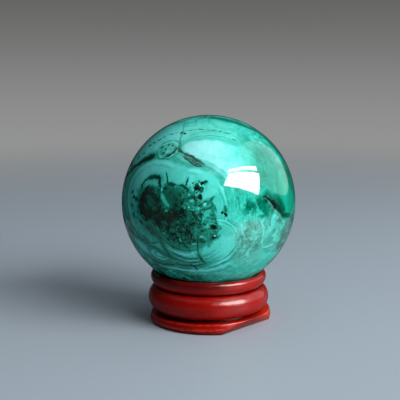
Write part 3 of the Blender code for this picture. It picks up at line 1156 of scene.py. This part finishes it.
# %% Malachite: single layers
DARK_LINES = [
    ((-70, -12), (-57, -17), (-45, -20.6), 0.9), ((-48, -20), (-39, -23.2), (-28, -30), 1.1),
    ((-60, -9), (-53, -16), (-45, -19), 0.6), ((-46, -19.2), (-40, -19.6), (-33, -17.6), 0.5),
    ((-54, -30), (-39, -35.8), (-24, -34), 0.8), ((-26, -33.6), (-15, -35.2), (-1, -32.4), 0.8),
    ((-32, -15.5), (-31, -22), (-25, -31.5), 1.3), ((-31, -15), (-22, -21.8), (-6.5, -20.4), 0.5),
    ((-26.5, -24.5), (-16.5, -28.6), (-5.5, -27.6), 0.5),
    ((-28.5, -27.6), (-18, -31.8), (-4.6, -30.4), 0.5),
    ((-6.6, -12.8), (-7.2, -19), (-6.8, -25.5), 0.5), ((-6.9, -24.6), (-5.4, -29), (-1.4, -32.6), 0.9),
    ((-68, -4), (-63, -10), (-57, -16), 0.6),
]
FAINT_LINES = [
    ((-1.6, -36.4), (11.1, -31.6), (21.7, -19.8), 0.5),
    ((-0.7, -33.5), (10.5, -28.2), (19.4, -15.2), 0.4), ((-24, -36.6), (-12, -37.6), (2, -35.4), 0.4),
    ((18.5, -10), (21.5, -15), (21.5, -22), 0.5),
]
PALE_LINES = [
    ((-7, -38.4), (4, -34), (17, -27), 0.6), ((-59, 14), (-60, 2), (-55.5, -10), 0.7),
    ((-41, -37.5), (-24, -39.2), (-8.0, -39.8), 0.7), ((-8.0, -39.8), (6, -37.0), (17, -30.5), 0.9),
    ((-30, -20.5), (-22, -25.4), (-9.5, -24.6), 0.7),
    ((-25.5, -28.0), (-15, -30.8), (-5.6, -29.4), 0.6),
]


def paint_lines(brush):
    """Single layers that stand out: pale ones, faint ones, and dark ones with gaps."""
    dab(brush, streaks(brush, PALE_LINES), brush.broken, 0.5, 1.2, 0.94, 0.85)
    dab(brush, streaks(brush, FAINT_LINES), brush.broken, 0.8, 1.0, 0.34, 0.7)
    lines = streaks(brush, DARK_LINES)
    gaps = add_fade(brush.tree, brush.mottle, -0.75, 0.25, 0.30, 0.95)
    paint(brush, halo(brush, vary(brush, brush.broken, 1.0, lines), 5.0, 0.75), 0.34)
    dab(brush, lines, brush.broken, 0.9, 1.0, vary(brush, brush.grit, 0.12, 0.13), gaps)


# %% Malachite: seams
SEAMS = [
    ((-86, 14), (-75, 20), (-66, 26), 1.2), ((-72, 22.5), (-60, 30.5), (-45, 37.6), 1.5),
    ((-58, 31.6), (-51, 34.8), (-46, 37.2), 2.1), ((-27, 43.6), (-24.5, 41), (-19, 38.4), 0.9),
    ((-21.5, 39.3), (-13.5, 36.8), (-2.5, 31.8), 0.65), ((-20, 37.2), (-14.5, 33.4), (-4, 30.4), 0.6),
    ((-17.5, 36.4), (-12.5, 34.2), (-6, 32.0), 0.35), ((-28, 43.5), (-31, 37.8), (-36.5, 35.2), 0.6),
]
SEAM_FILL = ((-19.5, 38.0), (-12, 34.8), (-3.5, 31.4), 2.0)
FISSURE = [((-43, 67), (-35, 61), (-31.5, 56), 0.3), ((-31.5, 56), (-29.4, 51), (-26, 42), 0.4)]
BLACK_STROKE = [((-14, -33.4), (-11, -36.2), (-8.4, -39.2), 0.55)]
DOTTED_ARCS = [
    (-63.0, 36.5, 1.2, 0.8, 30), (-63.2, 42.5, 1.5, 0.8, 20), (-59.4, 45.3, 1.3, 0.6, 30),
    (-55.7, 48.4, 1.5, 0.6, 30), (-52.0, 51.0, 1.1, 0.6, 25), (-45.6, 53.7, 1.6, 0.5, 15),
    (-39.5, 55.4, 0.8, 0.5, 10), (-23.2, 59.1, 1.6, 0.4, 8), (-17.0, 60.2, 1.2, 0.4, 0),
    (-10.5, 60.9, 1.6, 0.5, 0), (-1.4, 60.5, 0.9, 0.4, 0), (5.6, 59.8, 1.5, 0.5, -8),
    (13.3, 57.8, 0.8, 0.5, -10), (19.8, 55.9, 1.7, 0.5, -16), (25.0, 49.6, 1.2, 0.8, -30),
    (-68.0, 33.0, 1.2, 1.0, 0),
]


def paint_seams(brush):
    """Black seams with a green shadow, a fine fissure, and arcs of small dots near the top."""
    seams = streaks(brush, SEAMS)
    shadow = halo(brush, vary(brush, brush.ragged, 0.4, seams), 2.8, 0.7)
    paint(brush, shadow, vary(brush, brush.mottle, 0.10, 0.42))
    filled = vary(brush, brush.broken, 0.30, 0.33)
    fill = dab(brush, streak(brush, *SEAM_FILL), brush.ragged, 0.4, 2.2, filled, 0.9)
    stain(brush, "grey", faint(brush, fill, 0.35))
    dab(brush, seams, brush.ragged, 0.7, 2.2, vary(brush, brush.grit, 0.06, 0.09))
    fissure = streaks(brush, FISSURE)
    paint(brush, halo(brush, fissure, 4.0, 0.35), 0.50)
    dab(brush, fissure, brush.grit, 0.9, 1.4, 0.26, 0.7)
    dab(brush, streaks(brush, BLACK_STROKE), brush.ragged, 0.3, 2.0, 0.08)
    dots = spots(brush, DOTTED_ARCS)
    paint(brush, halo(brush, dots, 2.4, 0.4), 0.52)
    dab(brush, dots, brush.grit, 1.1, 1.5, 0.22, 0.8)


# %% [markdown]
# After the pattern itself, a few broad, soft patches of painted light and painted shade make whole
# zones a little paler or deeper. They have no edges of their own, so every line that was drawn before
# still shows through them.

# %% Malachite: painted light and shade
PAINTED_LIGHT_ZONES = [
    (-37, -22, 9, 5, -15), (-54.5, -18, 6, 6, 0), (-13, -24, 7, 4, 0), (-9, -42.5, 10, 3.2, 0),
    (-46, 25, 7, 6, 30), (-54, 12, 3.4, 8, 0), (-1.5, -8, 2.8, 7.0, 0),
]
PAINTED_LIGHT_TOP = [(-68, 67, 22, 7, 0)]
PAINTED_SHADE_ZONES = [(39, 9.6, 3.4, 3.4, 0), (42.8, 3.2, 2.6, 3.4, 0), (-7.4, 11.4, 3.6, 4.2, 0)]
FAINT_PAINTED_SHADE_ZONES = [
    (51, -8.0, 6.5, 5.0, 0), (11, -7.5, 4.0, 4.6, 0), (70, 20, 4.0, 9, 0),
    (-17.5, 2.0, 4.2, 5.0, 0), (-8.2, -2.6, 2.8, 4.0, 0),
]


def paint_light_and_shade(brush):
    """Broad soft patches of painted light and painted shade over the finished pattern."""
    shade(brush, halo(brush, spots(brush, PAINTED_LIGHT_ZONES), 1.7), 0.11)
    shade(brush, halo(brush, spots(brush, PAINTED_LIGHT_TOP), 1.7), 0.08)
    shade(brush, halo(brush, spots(brush, PAINTED_SHADE_ZONES), 1.6), -0.24)
    shade(brush, halo(brush, spots(brush, FAINT_PAINTED_SHADE_ZONES), 1.6), -0.15)


# %% [markdown]
# At the end the tone becomes a colour. Most of the stone reads it from one ramp of greens, and the
# stained parts from ramps of their own: milky, emerald or grey. The polish is a clear coat over the
# stone. It is left off in the pits and where the seat rubs, and is weaker over the broken heart.

# %% Malachite: colours
GREENS = [
    (0.00, (0.003, 0.014, 0.010)),
    (0.12, (0.004, 0.056, 0.037)),
    (0.28, (0.007, 0.160, 0.108)),
    (0.45, (0.014, 0.320, 0.238)),
    (0.62, (0.038, 0.500, 0.410)),
    (0.80, (0.088, 0.680, 0.600)),
    (1.00, (0.150, 0.810, 0.760)),
]
EMERALDS = [
    (0.00, (0.000, 0.014, 0.009)),
    (0.30, (0.000, 0.110, 0.064)),
    (0.55, (0.003, 0.290, 0.190)),
    (0.75, (0.016, 0.450, 0.340)),
    (1.00, (0.090, 0.660, 0.560)),
]
GREYS = [
    (0.00, (0.012, 0.032, 0.030)),
    (0.40, (0.056, 0.200, 0.180)),
    (0.65, (0.110, 0.440, 0.375)),
    (1.00, (0.320, 0.720, 0.680)),
]
MILKS = [
    (0.00, (0.003, 0.025, 0.018)),
    (0.35, (0.015, 0.220, 0.165)),
    (0.70, (0.110, 0.600, 0.550)),
    (1.00, (0.290, 0.820, 0.840)),
]
BROWN = (0.020, 0.017, 0.014, 1.0)


def malachite_colour(brush, tone):
    tree = brush.tree
    colour = add_ramp(tree, tone, GREENS)
    for stained, ramp in ((brush.milk, MILKS), (brush.emerald, EMERALDS), (brush.grey, GREYS)):
        colour = add_mix(tree, stained, colour, add_ramp(tree, tone, ramp))
    deep = add_fade(tree, tone, 0.30, 0.10)
    return add_mix(tree, faint(brush, deep, brush.brown), colour, BROWN)


# %% Malachite: material
STONE_LAYERS = [
    paint_ground, paint_underside, paint_cloud, paint_eye, paint_bowl, paint_low_lobe, paint_crumbs,
    paint_heart, paint_lobes, paint_round_heart, paint_orb, paint_rubble, paint_fibres, paint_band,
    paint_low_marks, paint_lines, paint_seams, paint_light_and_shade,
]
PIT_RIM, PIT_FLOOR = 0.9982, 0.9945  # shares of the radius where a pit begins and where it is full
RUB_RIM, RUB_FLOOR = -0.62, -0.70  # heights, as shares of the radius, where the seat rubs the stone


def malachite_material():
    material, tree, shader = start_material("malachite_polished")
    brush = stone_brush(tree)
    for layer in STONE_LAYERS:
        before = len(tree.nodes)
        layer(brush)
        print(f"  {layer.__name__}: {len(tree.nodes) - before} nodes")
    pit = add_fade(tree, brush.reach, PIT_RIM, PIT_FLOOR)
    # Painted shade: the pits are painted nearly black inside.
    paint(brush, pit, 0.02)
    tone = add_math(tree, "MULTIPLY_ADD", brush.grit, 0.025, brush.tone, clamp=True)
    tree.links.new(malachite_colour(brush, tone), shader.inputs["Base Color"])
    rubbed = add_fade(tree, brush.height, RUB_RIM, RUB_FLOOR, 0.0, 0.9)
    bare = add_math(tree, "MAXIMUM", pit, rubbed)
    dull = add_math(tree, "MAXIMUM", bare, brush.dull)
    worn = add_fade(tree, dull, 0.0, 1.0, 0.12, 0.42)
    rough = add_math(tree, "MAXIMUM", worn, faint(brush, pit, 0.85))
    tree.links.new(rough, shader.inputs["Roughness"])
    crystals = add_fade(tree, brush.dull, 0.0, 1.0, 1.0, 0.22)
    polish = faint(brush, crystals, add_math(tree, "SUBTRACT", 1.0, bare))
    tree.links.new(polish, shader.inputs["Coat Weight"])
    shader.inputs["Coat Roughness"].default_value = 0.035
    shader.inputs["Coat IOR"].default_value = 1.52
    shader.inputs["Specular IOR Level"].default_value = 0.10
    print(f"malachite: {len(tree.nodes)} nodes")
    return material


# %% Stone
stone = add_object("polished_stone", make_stone(), malachite_material())
print("stone size", [round(side / MM, 2) for side in stone.dimensions])

# %% [markdown]
# The stand is turned on a lathe from one block of wood: a dished seat, a thin bead round the rim, a
# fuller bead for the belly, a narrow neck and a flat foot. A spin does what the lathe did. The outline
# repeats the solid's sizes with many more points, so the beads are truly round.

# %% Stand sizes
SEAT_GAP = 0.3 * MM
SEAT_SPHERE_RADIUS = STONE_RADIUS + SEAT_GAP
HOLE_RADIUS = 11.0 * MM
HOLE_CHAMFER = 0.4 * MM
SEAT_RADIUS = 15.25 * MM
RIM_TOP = (15.8 * MM, STAND_TOP)
RIM_SWELL = 1.5 * MM
GROOVE = (14.75 * MM, 10.55 * MM)
BELLY_SWELL = 2.9 * MM
NECK = (14.65 * MM, 3.6 * MM)
FOOT_TOP = (17.3 * MM, 3.0 * MM)
FOOT_EDGE = (17.7 * MM, 1.5 * MM)
FOOT_UNDERCUT = (17.65 * MM, 1.0 * MM)
FOOT_BASE = (17.3 * MM, 0.0)
FOOT_SHIFT = 0.6 * MM
FOOT_RISE = 0.033
FLAT_BEARING = math.radians(47.6)
FLAT_BASE_APOTHEM = 14.1 * MM
FLAT_TOP_APOTHEM = 17.15 * MM
STAND_SEGMENTS = 192
SEAT_STEPS = 8
RIM_STEPS = 22
BELLY_STEPS = 34
LIP_EDGE = 0.14 * MM
print(f"stand: {2 * FOOT_EDGE[0] / MM:.1f} mm across the foot, {STAND_TOP / MM:.2f} mm tall")


# %% Stand outline
def seat_points():
    """The dish, from the hole out to the rim, as part of a sphere round the stone's middle."""
    points = []
    for i in range(SEAT_STEPS + 1):
        radius = HOLE_RADIUS + (SEAT_RADIUS - LIP_EDGE - HOLE_RADIUS) * i / SEAT_STEPS
        points.append((radius, STONE_MIDDLE.z - math.sqrt(SEAT_SPHERE_RADIUS**2 - radius**2)))
    return points


def bead_points(start, end, swell, steps):
    """A half-round moulding that swells outwards between two points of the outline."""
    points = []
    for i in range(steps + 1):
        angle = math.pi * i / steps
        along = (1 - math.cos(angle)) / 2
        radius = start[0] + (end[0] - start[0]) * along + swell * math.sin(angle)
        points.append((radius, start[1] + (end[1] - start[1]) * along))
    return points


def stand_outline():
    """The section of the ring as radius and height: up the hole, over the seat, down the outside."""
    outline = [(HOLE_RADIUS + HOLE_CHAMFER, 0.0), (HOLE_RADIUS, HOLE_CHAMFER)]
    outline += seat_points()
    outline += [(SEAT_RADIUS + LIP_EDGE, STAND_TOP)]
    outline += bead_points(RIM_TOP, GROOVE, RIM_SWELL, RIM_STEPS)
    outline += bead_points(GROOVE, NECK, BELLY_SWELL, BELLY_STEPS)[1:]
    outline += [(NECK[0], FOOT_TOP[1]), FOOT_TOP, FOOT_EDGE, FOOT_UNDERCUT, FOOT_BASE]
    return outline


print(f"stand outline: {len(stand_outline())} points")

# %% [markdown]
# The foot was finished by hand: it sits a little off the ring's axis, grows thicker towards one side,
# and a leaning flat is cut off its front. The same steps follow the spin here, and then the
# foot's arrises are softened, because lacquer never holds a knife edge.


# %% Stand mesh
def turn_outline(outline):
    bm = bmesh.new()
    verts = [bm.verts.new((radius, 0.0, height)) for radius, height in outline]
    edges = [bm.edges.new((verts[i - 1], verts[i])) for i in range(len(verts))]
    bmesh.ops.spin(
        bm,
        geom=verts + edges,
        cent=(0.0, 0.0, 0.0),
        axis=(0.0, 0.0, 1.0),
        angle=math.tau,
        steps=STAND_SEGMENTS,
        use_merge=True,
    )
    return bm


def shape_foot(bm):
    """Shifts the foot's outer edges and tilts its top. The hole and the underside stay true."""
    above_foot = (FOOT_TOP[1] + NECK[1]) / 2
    above_underside = FOOT_EDGE[1] / 2
    hole_side = (HOLE_RADIUS + NECK[0]) / 2
    neck_side = (NECK[0] + FOOT_TOP[0]) / 2
    for vert in bm.verts:
        radius = vert.co.xy.length
        if vert.co.z > above_foot or radius < hole_side:
            continue
        if radius > neck_side:
            vert.co.x += FOOT_SHIFT
        if vert.co.z > above_underside:
            vert.co.z += FOOT_RISE * vert.co.x


def cut_flat(bm):
    """Slices the flat off the foot with one leaning plane, and closes the cut."""
    outward = Vector((math.sin(FLAT_BEARING), -math.cos(FLAT_BEARING), 0.0))
    lean = Vector((0.0, 0.0, FOOT_TOP[1])) + outward * (FLAT_TOP_APOTHEM - FLAT_BASE_APOTHEM)
    normal = lean.cross(outward.cross(Vector((0.0, 0.0, 1.0)))).normalized()
    if normal.dot(outward) < 0:
        normal.negate()
    cut = bmesh.ops.bisect_plane(
        bm,
        geom=bm.verts[:] + bm.edges[:] + bm.faces[:],
        plane_co=outward * FLAT_BASE_APOTHEM,
        plane_no=normal,
        clear_outer=True,
    )
    rim = [item for item in cut["geom_cut"] if isinstance(item, bmesh.types.BMEdge)]
    bmesh.ops.contextual_create(bm, geom=rim)


# %% Soft arrises and sagging lacquer
MERGE_DISTANCE = 0.03 * MM
ARRIS_ANGLE = math.radians(30)
SOFT_EDGE = 0.2 * MM
SAG_DEPTH = 0.09 * MM
SAG_LENGTH = 4.5 * MM
SAG_FROM_HEIGHT = 0.4 * MM  # below this the foot stays flat
SAG_FROM_RADIUS = HOLE_RADIUS + 3.0 * MM  # the hole and the seat stay true


def soften_foot(bm):
    """Rounds the outer arrises of the foot and of the flat."""
    outer_side = NECK[0] - 1.1 * MM
    top = FOOT_TOP[1] + FOOT_RISE * FOOT_TOP[0] + SOFT_EDGE
    bmesh.ops.recalc_face_normals(bm, faces=bm.faces)
    arrises = []
    for edge in bm.edges:
        middle = (edge.verts[0].co + edge.verts[1].co) / 2
        if middle.z > top or middle.xy.length < outer_side or len(edge.link_faces) != 2:
            continue
        if edge.calc_face_angle_signed(0.0) > ARRIS_ANGLE:
            arrises.append(edge)
    bmesh.ops.bevel(
        bm,
        geom=arrises,
        offset=SOFT_EDGE,
        offset_type="OFFSET",
        segments=3,
        profile=0.5,
        affect="EDGES",
        material=-1,
        clamp_overlap=False,
    )
    print(f"stand: {len(arrises)} arris edges softened")


def sag_lacquer(bm):
    """Draws the outside in by a hair here and there, as thick hand-brushed lacquer sags."""
    for vert in bm.verts:
        if vert.co.z < SAG_FROM_HEIGHT or vert.co.xy.length < SAG_FROM_RADIUS:
            continue
        wave = noise.noise(vert.co / SAG_LENGTH) * 0.5 + 0.5
        outward = Vector((vert.co.x, vert.co.y, 0.0)).normalized()
        vert.co -= outward * SAG_DEPTH * wave


def make_stand():
    bm = turn_outline(stand_outline())
    shape_foot(bm)
    cut_flat(bm)
    bmesh.ops.remove_doubles(bm, verts=bm.verts, dist=MERGE_DISTANCE)
    soften_foot(bm)
    sag_lacquer(bm)
    bmesh.ops.recalc_face_normals(bm, faces=bm.faces)
    print(f"stand: {len(bm.faces)} faces")
    return bm


# %% [markdown]
# The wood is coated with red lacquer. Under it the turning left faint streaks, and it dried with a
# finely pimpled skin that makes the highlights sparkle. Painted shade darkens it in the groove, at the
# neck, along the foot's lower edge and on the left side, most on the left of the rim under the stone.
# Painted highlights lay a warmer orange along the arrises and on the foot's right tip. Nobody lacquers
# the hole and the underside with care: there the wood is only stained, so it is brown, grained and
# dull.

# %% Red lacquer
LACQUERS = [
    (0.00, (0.024, 0.0009, 0.0009)),
    (0.30, (0.125, 0.0020, 0.0015)),
    (0.55, (0.300, 0.0050, 0.0025)),
    (0.75, (0.430, 0.0160, 0.0050)),
    (1.00, (0.620, 0.0700, 0.0150)),
]
STAINED_WOOD = [
    (0.0, (0.070, 0.018, 0.010)), (0.5, (0.130, 0.040, 0.022)), (1.0, (0.230, 0.085, 0.048)),
]


def circle_distance(tree, point, circle, shift=0.0, rise=0.0):
    """Distance in millimetres from a circle round the axis, given in metres as radius and height."""
    flat = add_vector(tree, "MULTIPLY_ADD", point, (1.0, 1.0, 0.0), (-shift / MM, 0.0, 0.0))
    across = add_math(tree, "SUBTRACT", add_vector(tree, "LENGTH", flat), circle[0] / MM)
    height = add_vector(tree, "DOT_PRODUCT", point, (-rise, 0.0, 1.0))
    upward = add_math(tree, "SUBTRACT", height, circle[1] / MM)
    squared = add_math(tree, "MULTIPLY_ADD", across, across, add_math(tree, "MULTIPLY", upward, upward))
    return add_math(tree, "SQRT", squared)


def add_bump(tree, height, strength, depth):
    """Turns a height from 0 to 1 into a tilt of the surface. The depth is in metres."""
    node = tree.nodes.new("ShaderNodeBump")
    node.inputs["Strength"].default_value = strength
    node.inputs["Distance"].default_value = depth
    tree.links.new(height, node.inputs["Height"])
    return node.outputs["Normal"]


# %% Red lacquer: painted shade and painted highlights
# Each painted shade is a circle, how far it reaches in millimetres, and the dark tone painted there.
SHADED_CREASES = [(GROOVE, 1.4, 0.13), ((NECK[0], FOOT_TOP[1]), 1.7, 0.16), (FOOT_BASE, 1.1, 0.12)]
# Each painted highlight follows an arris: its circle, its shift and rise with the foot, and how far it
# reaches.
HIGHLIGHTED_ARRISES = [
    (RIM_TOP, 0.0, 0.0, 0.35), (FOOT_TOP, FOOT_SHIFT, FOOT_RISE, 0.5),
    (FOOT_EDGE, FOOT_SHIFT, FOOT_RISE, 0.4),
]
# The tone of the painted highlights along the arrises.
ARRIS_HIGHLIGHT_TONE = 0.78
# The paler tone painted as light on the foot's right tip, the side towards the key light.
LIT_TIP_TONE = 0.86  # the foot's right tip, where the flat ends


def lacquer_tone(tree, point):
    """The lacquer's tone, from 0 for the darkest painted shade to 1 for the palest painted highlight.
    """
    cloud = add_noise(tree, point, 0.16, detail=4.0, roughness=0.6)
    streaks = stretched_noise(tree, point, (0.10, 0.10, 2.4))
    tone = add_math(tree, "MULTIPLY_ADD", cloud, 0.30, 0.36)
    tone = add_math(tree, "MULTIPLY_ADD", add_math(tree, "SUBTRACT", streaks, 0.5), 0.24, tone)
    wobble = add_math(tree, "MULTIPLY_ADD", add_noise(tree, point, 0.55, detail=3.0), 1.1, -0.55)
    # Painted shade: a dark tone laid in the groove, at the neck and along the foot's lower edge.
    for circle, reach, depth in SHADED_CREASES:
        off = add_math(tree, "ADD", circle_distance(tree, point, circle), wobble)
        tone = add_blend(tree, add_fade(tree, off, reach, 0.25, 0.0, 0.92), tone, depth)
    sideways = add_vector(tree, "DOT_PRODUCT", point, (1.0, 0.0, 0.0))
    upward = add_vector(tree, "DOT_PRODUCT", point, (0.0, 0.0, 1.0))
    # Painted shade: a little darker on the left side, away from the key light, and much darker on the
    # left of the rim, under the stone.
    shaded_side = add_fade(tree, sideways, 10.0, 2.0)
    tone = add_math(tree, "MULTIPLY_ADD", shaded_side, -0.04, tone)
    rim = add_math(tree, "MULTIPLY", shaded_side, add_fade(tree, upward, 11.9, 13.0))
    tone = add_math(tree, "MULTIPLY_ADD", rim, -0.19, tone)
    # Painted highlights: a paler orange along the rim's top and the foot's arrises, broken by a noise.
    worn = add_fade(tree, add_noise(tree, point, 0.9, detail=3.0), 0.36, 0.56)
    for circle, shift, rise, reach in HIGHLIGHTED_ARRISES:
        off = circle_distance(tree, point, circle, shift, rise)
        thin = add_math(tree, "MULTIPLY", add_fade(tree, off, reach, 0.1), worn)
        tone = add_blend(tree, thin, tone, ARRIS_HIGHLIGHT_TONE)
    # Painted light: a paler orange low on the foot's right tip, the side towards the key light.
    low = add_fade(tree, upward, 4.6, 3.8)
    tip = add_math(tree, "MULTIPLY", add_fade(tree, sideways, 12.5, 17.0), low)
    return add_blend(tree, add_math(tree, "MULTIPLY", tip, 0.8), tone, LIT_TIP_TONE)


# %% Red lacquer: material
SKIN_DEPTH = 0.10 * MM


def lacquer_material():
    material, tree, shader = start_material("red_lacquer")
    place = tree.nodes.new("ShaderNodeTexCoord").outputs["Object"]
    sized = tree.nodes.new("ShaderNodeMapping")
    sized.inputs["Scale"].default_value = Vector((1, 1, 1)) / MM
    tree.links.new(place, sized.inputs["Vector"])
    point = sized.outputs["Vector"]
    radius = add_vector(tree, "LENGTH", add_vector(tree, "MULTIPLY", point, (1.0, 1.0, 0.0)))
    height = add_vector(tree, "DOT_PRODUCT", point, (0.0, 0.0, 1.0))
    in_hole = add_fade(tree, radius, HOLE_RADIUS / MM + 0.7, HOLE_RADIUS / MM + 0.2)
    bare = add_math(tree, "MAXIMUM", in_hole, add_fade(tree, height, 0.10, 0.02))
    grain = stretched_noise(tree, point, (0.12, 1.5, 1.5), detail=4.0)
    colour = add_ramp(tree, lacquer_tone(tree, point), LACQUERS)
    colour = add_mix(tree, bare, colour, add_ramp(tree, grain, STAINED_WOOD))
    tree.links.new(colour, shader.inputs["Base Color"])
    skin = add_noise(tree, point, 2.8, detail=2.0, roughness=0.7)
    brushed = stretched_noise(tree, point, (0.25, 0.25, 1.6))
    relief = add_blend(tree, bare, add_math(tree, "MULTIPLY_ADD", brushed, 0.7, skin), grain)
    tree.links.new(add_bump(tree, relief, 0.85, SKIN_DEPTH), shader.inputs["Normal"])
    sheen = add_fade(tree, add_noise(tree, point, 0.4, detail=3.0), 0.3, 0.7, 0.10, 0.20)
    tree.links.new(add_blend(tree, bare, sheen, 0.62), shader.inputs["Roughness"])
    tree.links.new(add_fade(tree, bare, 0.0, 1.0, 0.45, 0.0), shader.inputs["Coat Weight"])
    shader.inputs["Coat Roughness"].default_value = 0.07
    shader.inputs["Coat IOR"].default_value = 1.45
    shader.inputs["Specular IOR Level"].default_value = 0.25
    print(f"lacquer: {len(tree.nodes)} nodes")
    return material


# %% Stand
SHARP_ANGLE = math.radians(38)

stand = add_object("lacquered_ring", make_stand(), lacquer_material())
stand.data.set_sharp_from_angle(angle=SHARP_ANGLE)
print(f"stand: {sum(edge.use_edge_sharp for edge in stand.data.edges)} edges stay sharp in the shading")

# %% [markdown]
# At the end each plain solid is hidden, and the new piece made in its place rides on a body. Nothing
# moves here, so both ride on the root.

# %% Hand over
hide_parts("malachite_sphere")
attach(stone, "root")
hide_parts("wooden_stand")
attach(stand, "root")
